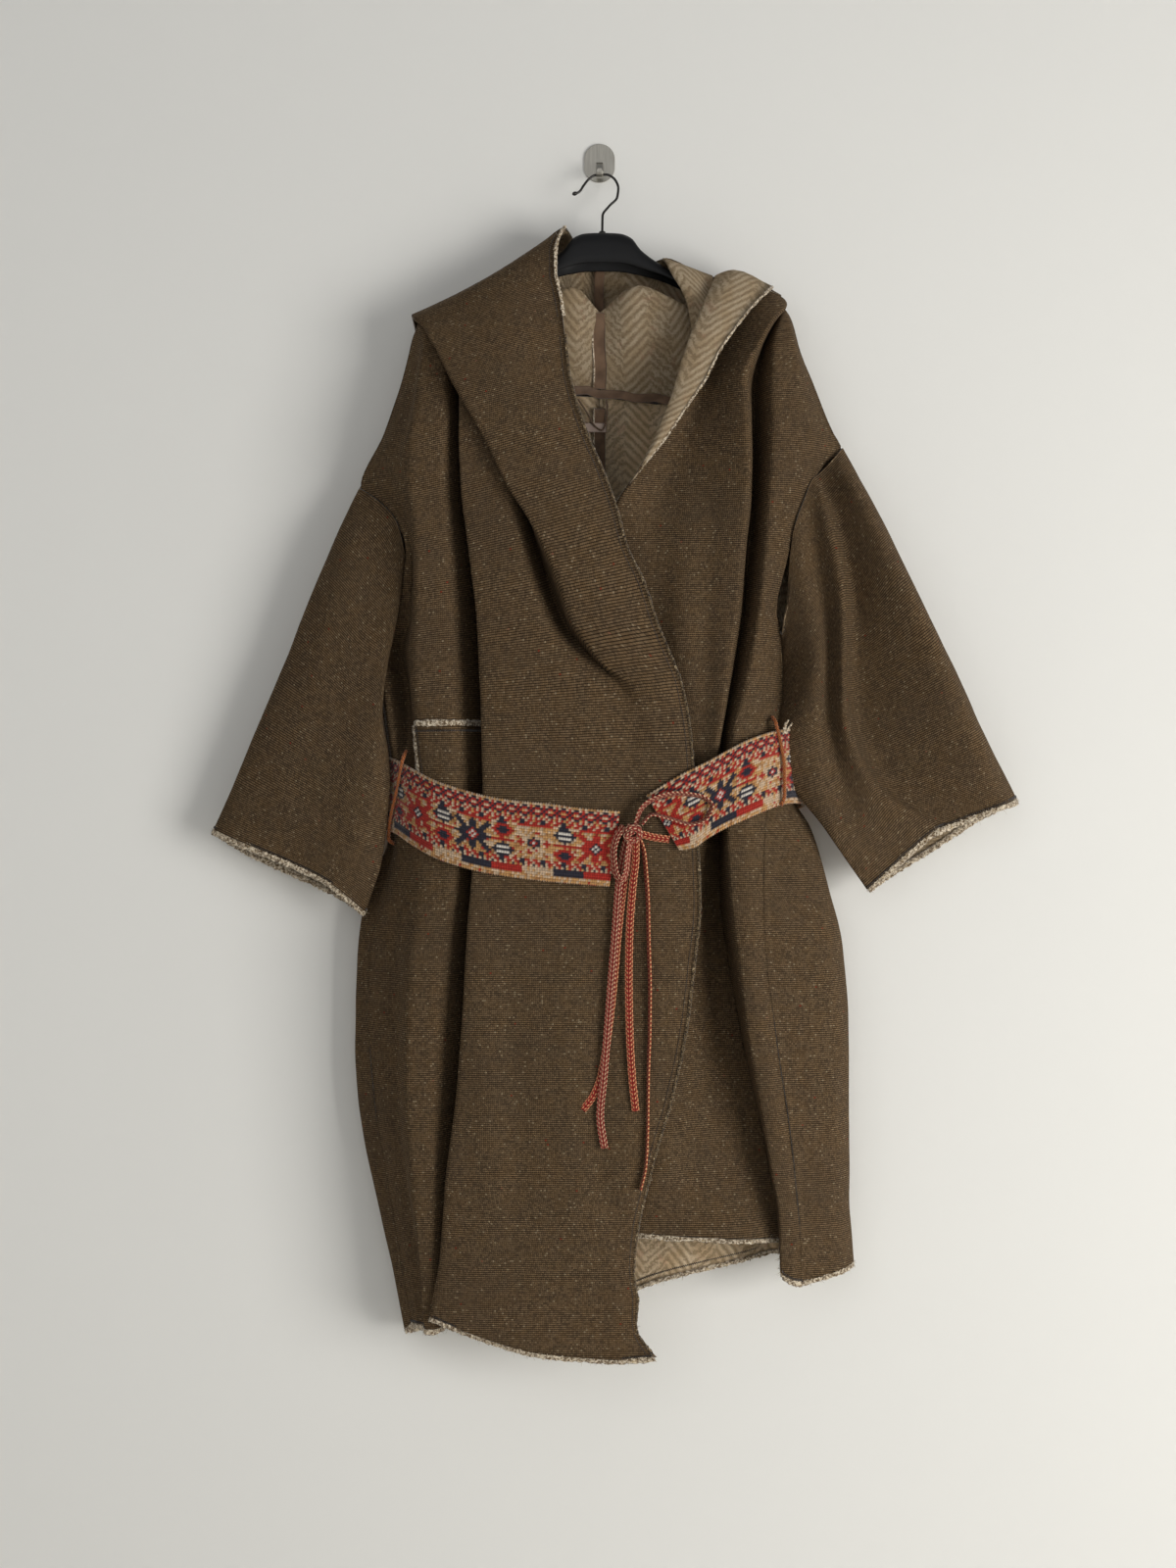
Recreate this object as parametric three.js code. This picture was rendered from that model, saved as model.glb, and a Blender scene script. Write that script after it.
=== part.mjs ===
// Hooded coat with a patterned belt, on a hanger that hangs from a wall hook.
// Millimetres, +Z up, +X to the right of someone facing the coat, +Y into the wall.
// The origin is the middle of the hook plate's back, on the wall. "Right" and "left" in
// the names are the wearer's, so the right front is the one at -X.
import * as THREE from "three";

// ---------------------------------------------------------------- driving sizes
const CLOTH = 2.6; // bonded double-faced cloth
const SEAM_GAP = 0.3;
const SEAM_INSET = 1.8; // how far a panel stops short of a seam where two panels meet at an angle
const YOKE = -300; // above this height the sections follow each fold's own top
const HEM_BAND = -1240; // below this height they follow each fold's own hem
const TOP_STEPS = [0, 0.03, 0.09, 0.3, 0.65];
const HEM_STEPS = [0.5, 1];
const FOLD_STEPS = 2; // steps across a panel from each fold to the next

const COAT_COLOUR = 0x5c4a35;
const LINING_COLOUR = 0x8a7355;

// ---------------------------------------------------------------- fold tables
// A fold is a line that runs down a panel: a seam, an edge, a crest or a valley.
// Each row of a fold is [height z, across x, depth y], from its top to its hem.

const RIGHT_ARMHOLE = [
  [-401, -285, -47], [-416, -259, -66], [-444, -237, -78], [-479, -226, -84],
  [-513, -234, -82], [-548, -247, -72], [-585, -265, -54],
];
const RIGHT_SIDE_SEAM = [
  [-640, -262, -50], [-697, -254, -50], [-755, -247, -50], [-824, -245, -52], [-870, -256, -52],
  [-962, -273, -54], [-1031, -275, -54], [-1123, -269, -54], [-1215, -255, -52], [-1318, -238, -50],
  [-1399, -224, -48],
];
const RIGHT_SHOULDER = [[-214, -219, -50], [-222, -222, -51], [-272, -235, -50], [-339, -258, -48]];

const FRONT_RIGHT = {
  side: [...RIGHT_SHOULDER, ...RIGHT_ARMHOLE, ...RIGHT_SIDE_SEAM],
  slot: [
    [-206, -212, -51], [-214, -212, -70], [-300, -222, -78], [-400, -246, -84], [-444, -228, -88],
    [-500, -218, -90], [-560, -226, -84], [-600, -243, -62], [-620, -238, -60], [-650, -229, -62],
    [-690, -226, -72], [-755, -228, -84], [-830, -228, -88], [-962, -240, -84], [-1123, -240, -82],
    [-1215, -228, -80], [-1318, -212, -76], [-1397, -206, -72],
  ],
  crestOne: [
    [-200, -200, -51], [-209, -199, -74], [-300, -200, -98], [-341, -207, -106], [-410, -206, -112],
    [-479, -203, -116], [-548, -199, -118], [-640, -197, -120], [-755, -192, -121], [-830, -190, -120],
    [-962, -208, -116], [-1100, -218, -112], [-1260, -210, -106], [-1395, -203, -98],
  ],
  valleyOne: [
    [-188, -178, -51], [-197, -177, -72], [-300, -164, -84], [-360, -160, -86], [-410, -157, -88],
    [-490, -149, -90], [-582, -142, -92], [-652, -136, -94], [-732, -133, -97], [-847, -141, -96],
    [-962, -150, -92], [-1100, -158, -88], [-1215, -166, -84], [-1307, -172, -80], [-1391, -178, -78],
  ],
  crestTwoEdge: [
    [-182, -166, -51], [-192, -166, -78], [-300, -162, -108], [-360, -165, -114], [-410, -164, -120],
    [-490, -156, -126], [-571, -148, -130], [-651, -142, -132], [-755, -139, -134], [-847, -147, -132],
    [-962, -155, -130], [-1100, -164, -126], [-1215, -178, -120], [-1307, -186, -114], [-1378, -198, -106],
  ],
  crestTwo: [
    [-174, -150, -51], [-186, -148, -80], [-300, -132, -106], [-341, -124, -114], [-410, -110, -124],
    [-479, -98, -133], [-548, -76, -138], [-606, -52, -142], [-646, -24, -144], [-686, -6, -143],
    [-755, -10, -142], [-847, -34, -138], [-962, -52, -138], [-1100, -60, -136], [-1215, -64, -132],
    [-1307, -66, -128], [-1419, -68, -119],
  ],
  valleyTwo: [
    [-178, -158, -51], [-190, -150, -74], [-300, -92, -86], [-400, -74, -94], [-456, -64, -99],
    [-525, -44, -110], [-571, -26, -120], [-606, 0, -129], [-640, 24, -136], [-686, 36, -139],
    [-755, 36, -139], [-847, 26, -137], [-962, 12, -137], [-1100, 2, -135], [-1215, -8, -131],
    [-1307, -14, -127], [-1424, -14, -118],
  ],
  lapelFold: [
    [-196, -224, -55], [-205, -220, -78], [-217, -208, -94], [-234, -199, -104], [-260, -185, -112],
    [-281, -174, -118], [-318, -153, -126], [-362, -130, -132], [-408, -107, -138], [-444, -84, -143],
    [-485, -61, -147], [-525, -44, -149], [-571, -28, -149], [-594, -12, -148], [-617, 6, -147],
    [-640, 38, -145], [-686, 62, -142], [-755, 64, -141], [-847, 58, -140], [-962, 50, -139],
    [-1100, 38, -137], [-1215, 26, -133], [-1307, 18, -128], [-1426, 16, -119],
  ],
  lapel: [
    [-157, -143, -51], [-166, -142, -76], [-214, -130, -106], [-295, -104, -126], [-375, -68, -138],
    [-456, -34, -146], [-525, -6, -150], [-582, 20, -150], [-640, 64, -144], [-686, 84, -141],
    [-755, 88, -140], [-847, 86, -139], [-962, 80, -137], [-1100, 62, -135], [-1215, 42, -131],
    [-1307, 30, -126], [-1425, 40, -118],
  ],
  frontEdge: [
    [-92, -43, -58], [-104, -49, -70], [-125, -54, -80], [-151, -54, -85], [-186, -47, -91],
    [-226, -42, -97], [-272, -38, -103], [-306, -30, -108], [-352, -14, -114], [-387, 1, -120],
    [-433, 17, -126], [-479, 29, -130], [-521, 49, -133], [-567, 64, -135], [-608, 81, -136],
    [-640, 93, -136], [-709, 104, -136], [-755, 107, -136], [-824, 112, -134], [-893, 114, -132],
    [-968, 107, -131], [-1042, 98, -130], [-1123, 81, -129], [-1180, 64, -128], [-1226, 53, -126],
    [-1284, 41, -124], [-1330, 38, -122], [-1351, 43, -121], [-1387, 41, -119], [-1423, 62, -117],
  ],
};

const LEFT_SHOULDER = [[-197, 226, -50], [-206, 229, -51], [-237, 237, -51], [-278, 254, -50], [-335, 278, -48]];
const LEFT_ARMHOLE = [
  [-355, 288, -47], [-372, 266, -62], [-388, 253, -72], [-410, 241, -80], [-433, 232, -86],
  [-462, 224, -90], [-490, 217, -92], [-513, 211, -92], [-536, 206, -90], [-552, 205, -86], [-573, 212, -70],
];
const LEFT_SIDE_SEAM = [
  [-640, 216, -62], [-697, 216, -66], [-755, 207, -84], [-789, 196, -100], [-847, 192, -108],
  [-916, 192, -110], [-973, 196, -110], [-1019, 202, -108], [-1077, 210, -106], [-1134, 219, -104],
  [-1180, 225, -102], [-1238, 231, -98], [-1284, 235, -96], [-1341, 237, -92],
];

const FRONT_LEFT = {
  frontEdge: [
    [-161, 205, -53], [-170, 199, -78], [-180, 190, -92], [-205, 169, -106], [-224, 155, -111],
    [-251, 137, -115], [-281, 123, -118], [-314, 100, -119], [-349, 77, -118], [-379, 54, -116],
    [-410, 30, -112], [-434, 14, -106], [-520, -34, -91], [-600, -74, -85], [-680, -98, -84],
    [-755, -108, -86], [-900, -114, -98], [-1100, -112, -100], [-1262, -106, -98],
  ],
  strip: [
    [-142, 160, -51], [-150, 158, -84], [-180, 148, -104], [-224, 128, -116], [-281, 106, -120],
    [-330, 82, -121], [-370, 58, -119], [-410, 32, -114], [-434, 18, -108], [-520, -24, -93],
    [-600, -58, -87], [-680, -80, -86], [-755, -90, -88], [-900, -96, -100], [-1100, -94, -102],
    [-1264, -88, -99],
  ],
  roll: [
    [-150, 138, -51], [-158, 136, -78], [-180, 127, -96], [-209, 115, -108], [-237, 104, -112],
    [-263, 95, -114], [-295, 86, -116], [-332, 72, -116], [-355, 62, -115], [-381, 49, -113],
    [-410, 36, -110], [-434, 26, -106], [-520, -6, -95], [-600, -30, -90], [-680, -44, -90],
    [-755, -50, -92], [-900, -50, -103], [-1100, -48, -105], [-1268, -44, -101],
  ],
  underLapel: [
    [-158, 168, -54], [-166, 166, -70], [-209, 146, -90], [-263, 124, -98], [-316, 104, -102],
    [-355, 88, -104], [-400, 74, -106], [-479, 58, -106], [-600, 60, -102], [-680, 62, -102],
    [-755, 60, -106], [-900, 60, -112], [-1100, 58, -112], [-1282, 60, -106],
  ],
  shellFold: [
    [-183, 222, -54], [-191, 219, -74], [-205, 206, -94], [-226, 194, -106], [-243, 185, -111],
    [-260, 177, -114], [-286, 172, -118], [-318, 176, -120], [-381, 179, -122], [-410, 178, -122],
    [-479, 172, -122], [-548, 166, -122], [-617, 156, -122], [-663, 149, -122], [-709, 140, -121],
    [-812, 122, -120], [-900, 112, -121], [-1000, 110, -120], [-1100, 118, -118], [-1200, 134, -114],
    [-1287, 146, -110],
  ],
  valley: [
    [-188, 218, -52], [-198, 212, -68], [-243, 190, -76], [-295, 180, -80], [-341, 181, -82],
    [-410, 181, -86], [-479, 175, -90], [-548, 169, -94], [-617, 159, -98], [-663, 152, -102],
    [-709, 146, -106], [-812, 146, -106], [-893, 150, -102], [-962, 161, -100], [-1042, 174, -98],
    [-1100, 186, -96], [-1169, 201, -94], [-1215, 209, -92], [-1294, 218, -88],
  ],
  crestOneEdge: [
    [-190, 221, -51], [-200, 217, -70], [-243, 206, -90], [-295, 203, -98], [-341, 200, -102],
    [-410, 191, -104], [-490, 184, -107], [-571, 176, -111], [-640, 164, -115], [-700, 150, -118],
    [-812, 143, -119], [-870, 145, -119], [-962, 158, -118], [-1054, 172, -116], [-1134, 189, -112],
    [-1203, 201, -108], [-1272, 212, -104], [-1328, 213, -99],
  ],
  crestOne: [
    [-193, 223, -51], [-203, 221, -70], [-237, 228, -84], [-295, 232, -92], [-341, 233, -96],
    [-433, 222, -99], [-500, 204, -103], [-560, 194, -104], [-617, 190, -104], [-697, 184, -108],
    [-755, 176, -114], [-824, 168, -120], [-900, 170, -122], [-1000, 180, -120], [-1100, 196, -116],
    [-1200, 215, -110], [-1338, 226, -98],
  ],
  side: [...LEFT_SHOULDER, ...LEFT_ARMHOLE, ...LEFT_SIDE_SEAM],
};

// The back's armholes lie behind the front's, at the same heights.
const backArmhole = (armhole) =>
  armhole.map(([z, x, y], i) => [z, x, i === 0 || i === armhole.length - 1 ? y : -30 + (y + 30) * 0.12]);

const BACK_RIGHT = {
  side: [...RIGHT_SHOULDER, ...backArmhole(RIGHT_ARMHOLE), ...RIGHT_SIDE_SEAM],
  turn: [
    [-208, -214, -48], [-211, -215, -35], [-218, -216, -31], [-272, -226, -30], [-339, -240, -29], [-401, -246, -28],
    [-444, -226, -28], [-479, -216, -27], [-548, -228, -27], [-585, -248, -30], [-640, -258, -34],
    [-755, -250, -34], [-826, -254, -38], [-861, -270, -38], [-931, -287, -38], [-1049, -293, -38],
    [-1131, -288, -38], [-1202, -277, -38], [-1272, -262, -38], [-1337, -247, -37], [-1410, -233, -36],
  ],
  outer: [
    [-189, -180, -48], [-192, -180, -35], [-199, -180, -30], [-260, -176, -28], [-339, -174, -26],
    [-479, -174, -23], [-640, -190, -20], [-826, -196, -18], [-1049, -222, -18], [-1202, -216, -19],
    [-1408, -188, -20],
  ],
  neckSide: [
    [-173, -151, -48], [-176, -151, -36], [-183, -151, -30], [-260, -148, -28], [-339, -134, -25],
    [-479, -128, -22], [-640, -140, -21], [-826, -146, -20], [-1049, -164, -22], [-1202, -160, -23],
    [-1404, -142, -23],
  ],
  inner: [
    [-176, -139, -30], [-200, -134, -29.5], [-260, -116, -29], [-339, -100, -25], [-479, -90, -22],
    [-640, -96, -22], [-826, -98, -21], [-1049, -112, -24], [-1202, -112, -26], [-1400, -100, -26],
  ],
  neck: [
    [-287, -70, -45], [-296, -68, -40], [-339, -62, -30], [-479, -52, -22], [-640, -52, -20],
    [-826, -50, -19], [-1049, -56, -20], [-1202, -56, -21], [-1392, -50, -22],
  ],
  centre: [
    [-292, -0.2, -45], [-301, -0.2, -39], [-339, -0.2, -29], [-479, -0.2, -22], [-640, -0.2, -19],
    [-826, -0.2, -18], [-1049, -0.2, -18], [-1202, -0.2, -20], [-1384, -0.2, -22],
  ],
};

const BACK_LEFT = {
  centre: BACK_RIGHT.centre.map(([z, x, y]) => [z, -x, y]),
  neck: [
    [-301, 88, -45], [-309, 84, -40], [-339, 62, -30], [-479, 54, -22], [-640, 54, -20],
    [-826, 52, -19], [-1049, 58, -21], [-1202, 60, -26], [-1352, 60, -40],
  ],
  inner: [
    [-181, 146, -30], [-205, 140, -29.5], [-260, 124, -29], [-339, 104, -25], [-479, 94, -22],
    [-640, 96, -22], [-826, 100, -21], [-1049, 116, -26], [-1202, 124, -34], [-1332, 128, -48],
  ],
  neckSide: [
    [-176, 159, -48], [-179, 159, -36], [-186, 159, -30], [-260, 154, -28], [-339, 142, -25],
    [-479, 132, -22], [-640, 134, -21], [-826, 146, -20], [-1049, 164, -24], [-1202, 170, -31],
    [-1322, 172, -46],
  ],
  outer: [
    [-192, 192, -48], [-195, 192, -35], [-202, 192, -30], [-260, 190, -28], [-339, 190, -26],
    [-479, 172, -23], [-640, 174, -20], [-826, 190, -18], [-1049, 210, -20], [-1202, 214, -28],
    [-1312, 212, -44],
  ],
  turn: [
    [-200, 221, -46], [-203, 222, -35], [-210, 224, -31], [-260, 236, -31], [-335, 258, -30],
    [-372, 252, -28], [-433, 222, -28], [-490, 206, -27], [-548, 196, -27], [-573, 202, -30],
    [-640, 214, -32], [-755, 222, -36], [-810, 252, -40], [-880, 273, -42], [-950, 290, -44],
    [-1049, 296, -46], [-1150, 297, -48], [-1250, 298, -50], [-1325, 302, -52],
  ],
  wrap: [
    [-199, 224, -48], [-206, 227, -42], [-260, 243, -40], [-335, 268, -39], [-372, 260, -36],
    [-433, 227, -34], [-490, 211, -33], [-548, 200, -34], [-573, 208, -44], [-640, 218, -46],
    [-755, 222, -56], [-810, 240, -70], [-880, 256, -80], [-950, 270, -84], [-1049, 276, -84],
    [-1150, 280, -82], [-1250, 282, -80], [-1330, 284, -78],
  ],
  side: [...LEFT_SHOULDER, ...backArmhole(LEFT_ARMHOLE), ...LEFT_SIDE_SEAM],
};

// Heights of the sections between the yoke and the hem band.
const BODY_LEVELS = [
  -300, -345, -378, -398, -420, -445, -480, -515, -548, -573, -588, -620, -650, -686, -730, -780, -826, -875,
  -950, -1040, -1140, -1240,
];
const BACK_LEVELS = [-300, -355, -402, -445, -480, -548, -585, -640, -700, -780, -826, -875, -950, -1090, -1240];

// A sleeve is a tube. Each fold round it runs from the armhole to the cuff, and each row of
// the table is [x, y, z]; the rows of all the folds lie on the same sections of the sleeve.
const SLEEVE_RIGHT = {
  top: [[-287, -47, -402], [-310, -49, -451], [-343, -50, -530], [-392, -50, -650], [-435, -49, -752], [-462, -47, -809]],
  frontUpper: [[-262, -66, -420], [-292, -76, -468], [-320, -80, -552], [-356, -78, -672], [-392, -72, -774], [-416, -66, -828]],
  frontMiddle: [[-240, -79, -446], [-262, -84, -500], [-286, -90, -590], [-312, -90, -702], [-340, -84, -800], [-366, -72, -848]],
  frontLower: [[-231, -86, -484], [-236, -92, -540], [-252, -100, -622], [-266, -104, -738], [-290, -96, -830], [-318, -78, -872]],
  inner: [[-272, -56, -586], [-272, -70, -612], [-262, -86, -662], [-248, -90, -748], [-258, -84, -840], [-279, -66, -906]],
  backLower: [[-256, -34, -556], [-278, -36, -600], [-284, -58, -660], [-276, -72, -742], [-284, -62, -830], [-304, -48, -890]],
  backMiddle: [[-232, -29, -470], [-268, -24, -520], [-298, -26, -600], [-328, -34, -706], [-352, -32, -800], [-372, -30, -858]],
  backUpper: [[-258, -30, -414], [-296, -24, -466], [-330, -22, -552], [-374, -22, -666], [-408, -24, -768], [-432, -26, -830]],
};
const SLEEVE_LEFT = {
  top: [[290, -47, -354], [314, -49, -399], [358, -50, -487], [411, -50, -594], [462, -49, -704], [497, -47, -773]],
  frontUpper: [[270, -62, -374], [287, -84, -420], [318, -86, -510], [362, -84, -626], [410, -76, -730], [448, -66, -788]],
  crestB: [[252, -75, -394], [268, -92, -440], [290, -104, -560], [300, -102, -660], [336, -92, -762], [402, -70, -808]],
  betweenCrests: [[243, -82, -414], [256, -84, -470], [270, -86, -590], [280, -84, -680], [308, -80, -792], [368, -70, -834]],
  crestA: [[228, -92, -458], [238, -98, -516], [256, -104, -604], [252, -100, -690], [276, -86, -806], [344, -68, -856]],
  inner: [[217, -80, -578], [229, -84, -592], [237, -90, -640], [234, -96, -712], [268, -78, -812], [318, -62, -880]],
  backLower: [[207, -32, -540], [236, -42, -590], [256, -62, -650], [262, -72, -726], [292, -54, -812], [336, -46, -868]],
  backMiddle: [[232, -29, -440], [262, -24, -490], [290, -24, -590], [322, -26, -690], [358, -28, -786], [402, -30, -828]],
  backUpper: [[262, -30, -370], [300, -24, -412], [340, -22, -508], [390, -22, -620], [432, -24, -724], [462, -26, -790]],
};

// The hood is sewn up the middle of its back and hangs in a bag between the coat and the wall.
// Columns run outwards from the seam, and each row is [x, y, z] down a column.
const HOOD_RIGHT_INNER = {
  centre: [[-1.4, -45, -288], [-1.4, -50, -262], [-1.4, -54, -225], [-1.4, -50, -192], [-1.4, -36, -190], [-1.4, -27, -240], [-1.4, -16, -340], [-1.4, -11, -452]],
  bulge: [[-38, -45, -285], [-37, -58, -258], [-35, -68, -215], [-32, -62, -166], [-33, -40, -162], [-36, -28, -230], [-42, -16, -330], [-48, -11, -440]],
  outer: [[-66, -45, -282], [-68, -58, -254], [-68, -66, -215], [-66, -60, -174], [-68, -42, -168], [-78, -29, -230], [-92, -17, -320], [-104, -12, -412]],
};
const HOOD_LEFT_INNER = {
  centre: HOOD_RIGHT_INNER.centre.map(([x, y, z]) => [-x, y, z]),
  bulge: [[44, -45, -291], [44, -60, -262], [44, -72, -215], [46, -64, -164], [46, -40, -160], [44, -28, -230], [44, -16, -330], [48, -11, -440]],
  shoulder: [[82, -45, -292], [86, -60, -262], [92, -70, -222], [94, -64, -183], [94, -42, -180], [90, -29, -236], [88, -17, -325], [84, -12, -425]],
  outer: [[104, -48, -292], [108, -56, -262], [114, -60, -226], [116, -56, -196], [114, -42, -192], [108, -30, -240], [104, -18, -320], [104, -13, -412]],
};
const HOOD_RIGHT_OUTER = {
  centre: [[-1.2, -14, -140], [-1.2, -10, -180], [-1.2, -5, -260], [-1.2, -4, -360], [-1.2, -7, -452]],
  behind: [[-28, -26, -104], [-28, -19, -130], [-28, -8, -220], [-28, -5, -340], [-26, -7, -446]],
  tip: [[-42, -55, -92], [-44, -28, -101], [-46, -9, -190], [-48, -5, -330], [-48, -7, -440]],
  slope: [[-92, -50, -131], [-93, -26, -140], [-92, -10, -220], [-90, -6, -330], [-84, -8, -426]],
  fall: [[-143, -50, -157], [-144, -25, -166], [-140, -11, -240], [-126, -8, -330], [-106, -9, -411]],
  shoulder: [[-224, -53, -196], [-222, -26, -208], [-196, -14, -270], [-158, -11, -330], [-124, -11, -392]],
};
const HOOD_LEFT_OUTER = {
  centre: HOOD_RIGHT_OUTER.centre.map(([x, y, z]) => [-x, y, z]),
  middle: [[38, -15, -138], [40, -12, -170], [42, -6, -250], [44, -5, -350], [46, -7, -440]],
  behind: [[64, -28, -127], [64, -20, -150], [64, -8, -220], [64, -6, -340], [66, -7, -433]],
  flapTop: [[79, -50, -127], [76, -28, -137], [78, -10, -210], [82, -6, -330], [84, -8, -426]],
  dip: [[138, -50, -150], [137, -26, -158], [130, -11, -230], [120, -7, -330], [108, -9, -411]],
  peak: [[160, -50, -142], [159, -25, -152], [150, -12, -236], [134, -9, -326], [114, -10, -402]],
  shoulder: [[216, -52, -172], [214, -27, -186], [190, -15, -260], [156, -12, -324], [124, -11, -390]],
};
const HOOD_FLAP = {
  under: [[86, -51, -131], [90, -72, -142], [98, -72, -160], [106, -74, -180], [112, -72, -204], [116, -68, -250], [118, -62, -284]],
  edge: [[76, -51, -128], [80, -76, -138], [89, -80, -156], [98, -82, -172], [105, -82, -190], [110, -78, -222], [114, -70, -262]],
  middle: [[104, -51, -137], [108, -78, -148], [114, -86, -166], [120, -88, -184], [124, -86, -204], [126, -80, -234], [128, -72, -268]],
  valley: [[134, -51, -149], [134, -72, -158], [136, -76, -176], [138, -78, -194], [138, -78, -214], [138, -76, -240], [138, -70, -270]],
};

// The belt: each row is [top x, y, top z, bottom z, bottom x - top x], from one tied end, round
// the back, to the other.
const BELT = [
  [23, -144.6, -787, -873, -12], [-25, -144.8, -783, -870, 0], [-60, -144.4, -778, -867, 0],
  [-94, -142.6, -775, -863, 0], [-128, -140, -770, -858, 0], [-162, -135.5, -761, -850, 0],
  [-192, -127.5, -751, -840, 0], [-220, -110, -737, -825, 0], [-240, -84, -727, -813, 0],
  [-256, -58, -722, -808, 0], [-262, -36, -722, -808, 0], [-250, -19, -724, -810, 0],
  [-205, -12, -728, -815, 0], [-110, -12, -732, -819, 0], [0, -12, -732, -819, 0],
  [110, -12, -725, -812, 0], [200, -12, -710, -797, 0], [232, -19, -700, -787, 0],
  [244, -38, -694, -781, 0], [240, -60, -691, -778, 0], [228, -82, -690, -777, 0],
  [212, -100, -692, -779, 0], [192, -114, -697, -786, 0], [168, -124, -706, -796, 0],
  [145, -130, -718, -806, 0], [123, -138, -730, -818, 0], [96, -144.4, -743, -828, 12],
  [53, -145.4, -769, -831, 38],
];
const BELT_THICK = 3.2;

// Flat braid that ties the belt, in a bow over the front. Each row of a route is [x, y, z].
const BRAID = { width: 9, thick: 2.2 };
const KNOT = { centre: [37, -150, -811], width: 15, depth: 13, height: 17 };
const BRAIDS = {
  tie_strand_right: [[22, -146, -806], [24.5, -147.8, -807.2], [28.4, -150, -809.6]],
  tie_strand_left: [[45.1, -150, -812], [60, -148.4, -816], [79.8, -146, -819]],
  tie_loop_bow: [
    [41, -151, -803], [46, -153, -786], [60, -153.4, -773], [88, -150.6, -766], [115, -147.4, -769],
    [129, -145.4, -780], [122, -146.4, -795], [104, -149.6, -801], [78, -152, -794], [60, -154.8, -790],
    [47.4, -155, -801.6],
  ],
  tie_loop_small: [
    [27.6, -152, -803.4], [19, -153.6, -816], [15, -153.6, -834], [17, -153, -855], [24, -152.6, -866],
    [30, -153, -856], [32, -153.6, -838], [34, -153.8, -821.6],
  ],
  tie_tail_a: [
    [31, -149.6, -818.8], [27, -148.2, -836], [22, -146.8, -868], [17.6, -146.2, -924], [13, -146, -981],
    [8.6, -145.2, -1038], [4, -143.6, -1094], [0, -141.6, -1139], [5, -139.6, -1176],
  ],
  tie_tail_b: [
    [36, -145.6, -818.2], [34, -143.6, -838], [28, -143, -868], [21, -142.8, -924], [16, -142.6, -981],
    [9.7, -141.8, -1038], [0.7, -140.2, -1094], [-7, -139.2, -1114], [-20, -138, -1132],
  ],
  tie_tail_c: [
    [41, -149.8, -820.2], [41, -148.6, -838], [38, -147.4, -868], [34, -146.4, -924], [33, -145.8, -981],
    [34, -144.6, -1038], [37, -142.6, -1094], [41, -141, -1133],
  ],
  tie_tail_d: [
    [44.6, -147, -817], [50, -145.4, -832], [53, -144.6, -860], [55, -144.2, -891], [56, -143.4, -936],
    [57.5, -142.8, -992], [57, -141.6, -1049], [55.5, -140.4, -1094], [55, -138.6, -1150],
    [53, -137.2, -1196], [47, -136.2, -1225],
  ],
};

// Twisted thread loops that carry the belt at the sides.
const THREAD_RADIUS = 1.5;
const BELT_LOOPS = {
  belt_loop_right: [[-228, -86.4, -716], [-231, -106, -726], [-239.5, -95, -765], [-248, -83, -800], [-250, -74, -820], [-245, -63.5, -826]],
  belt_loop_left: [[203, -91, -676], [206, -108, -685], [212, -105.5, -709], [215, -103.6, -738], [213, -105.5, -778], [203, -97, -796]],
};

// Tapes and the small pieces inside the neck.
const TAPE_THICK = 1.2;
const HOOD_TAPE_EASE = 0.8; // it bridges the dip along the hood's seam
const NECK_TAPE_HALF = 4.5;
const NECK_TAPE_LINE = [[-62, -282], [-38, -285], [0, -289.5], [44, -294], [82, -297], [100, -299]]; // [x, z]
const NECK_TAPE_DEPTH = -49.8;
const LABEL = { x: [-22, 8], z: [-333, -322], y: -39.4, thick: 0.8 };
const HANG_LOOP = [[-26, -48.5, -294.5], [-14, -44, -312], [-6, -42.6, -326], [2, -42.6, -331], [8, -43, -318], [9, -46, -303], [8, -49, -295.5]];

// ---------------------------------------------------------------- curves and sheets
// Slopes of a smooth curve through the values that never swings past them.
function slopes(at, value) {
  const steps = at.slice(1).map((a, i) => a - at[i]);
  const rates = steps.map((h, i) => (h ? (value[i + 1] - value[i]) / h : 0));
  return at.map((_, i) => {
    if (i === 0) return rates[0];
    if (i === at.length - 1) return rates[i - 1];
    const [before, after] = [rates[i - 1], rates[i]];
    if (before * after <= 0) return 0;
    const [wBefore, wAfter] = [2 * steps[i] + steps[i - 1], steps[i] + 2 * steps[i - 1]];
    return (wBefore + wAfter) / (wBefore / before + wAfter / after);
  });
}

function smoothCurve(at, value) {
  const slope = slopes(at, value);
  return (where) => {
    let i = 0;
    while (i < at.length - 2 && where > at[i + 1]) i++;
    const h = at[i + 1] - at[i] || 1;
    const t = THREE.MathUtils.clamp((where - at[i]) / h, 0, 1);
    const [a, b] = [value[i], value[i + 1]];
    const rise = h * (slope[i] * t * (1 - t) ** 2 - slope[i + 1] * t * t * (1 - t));
    return a + (b - a) * t * t * (3 - 2 * t) + rise;
  };
}

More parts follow.
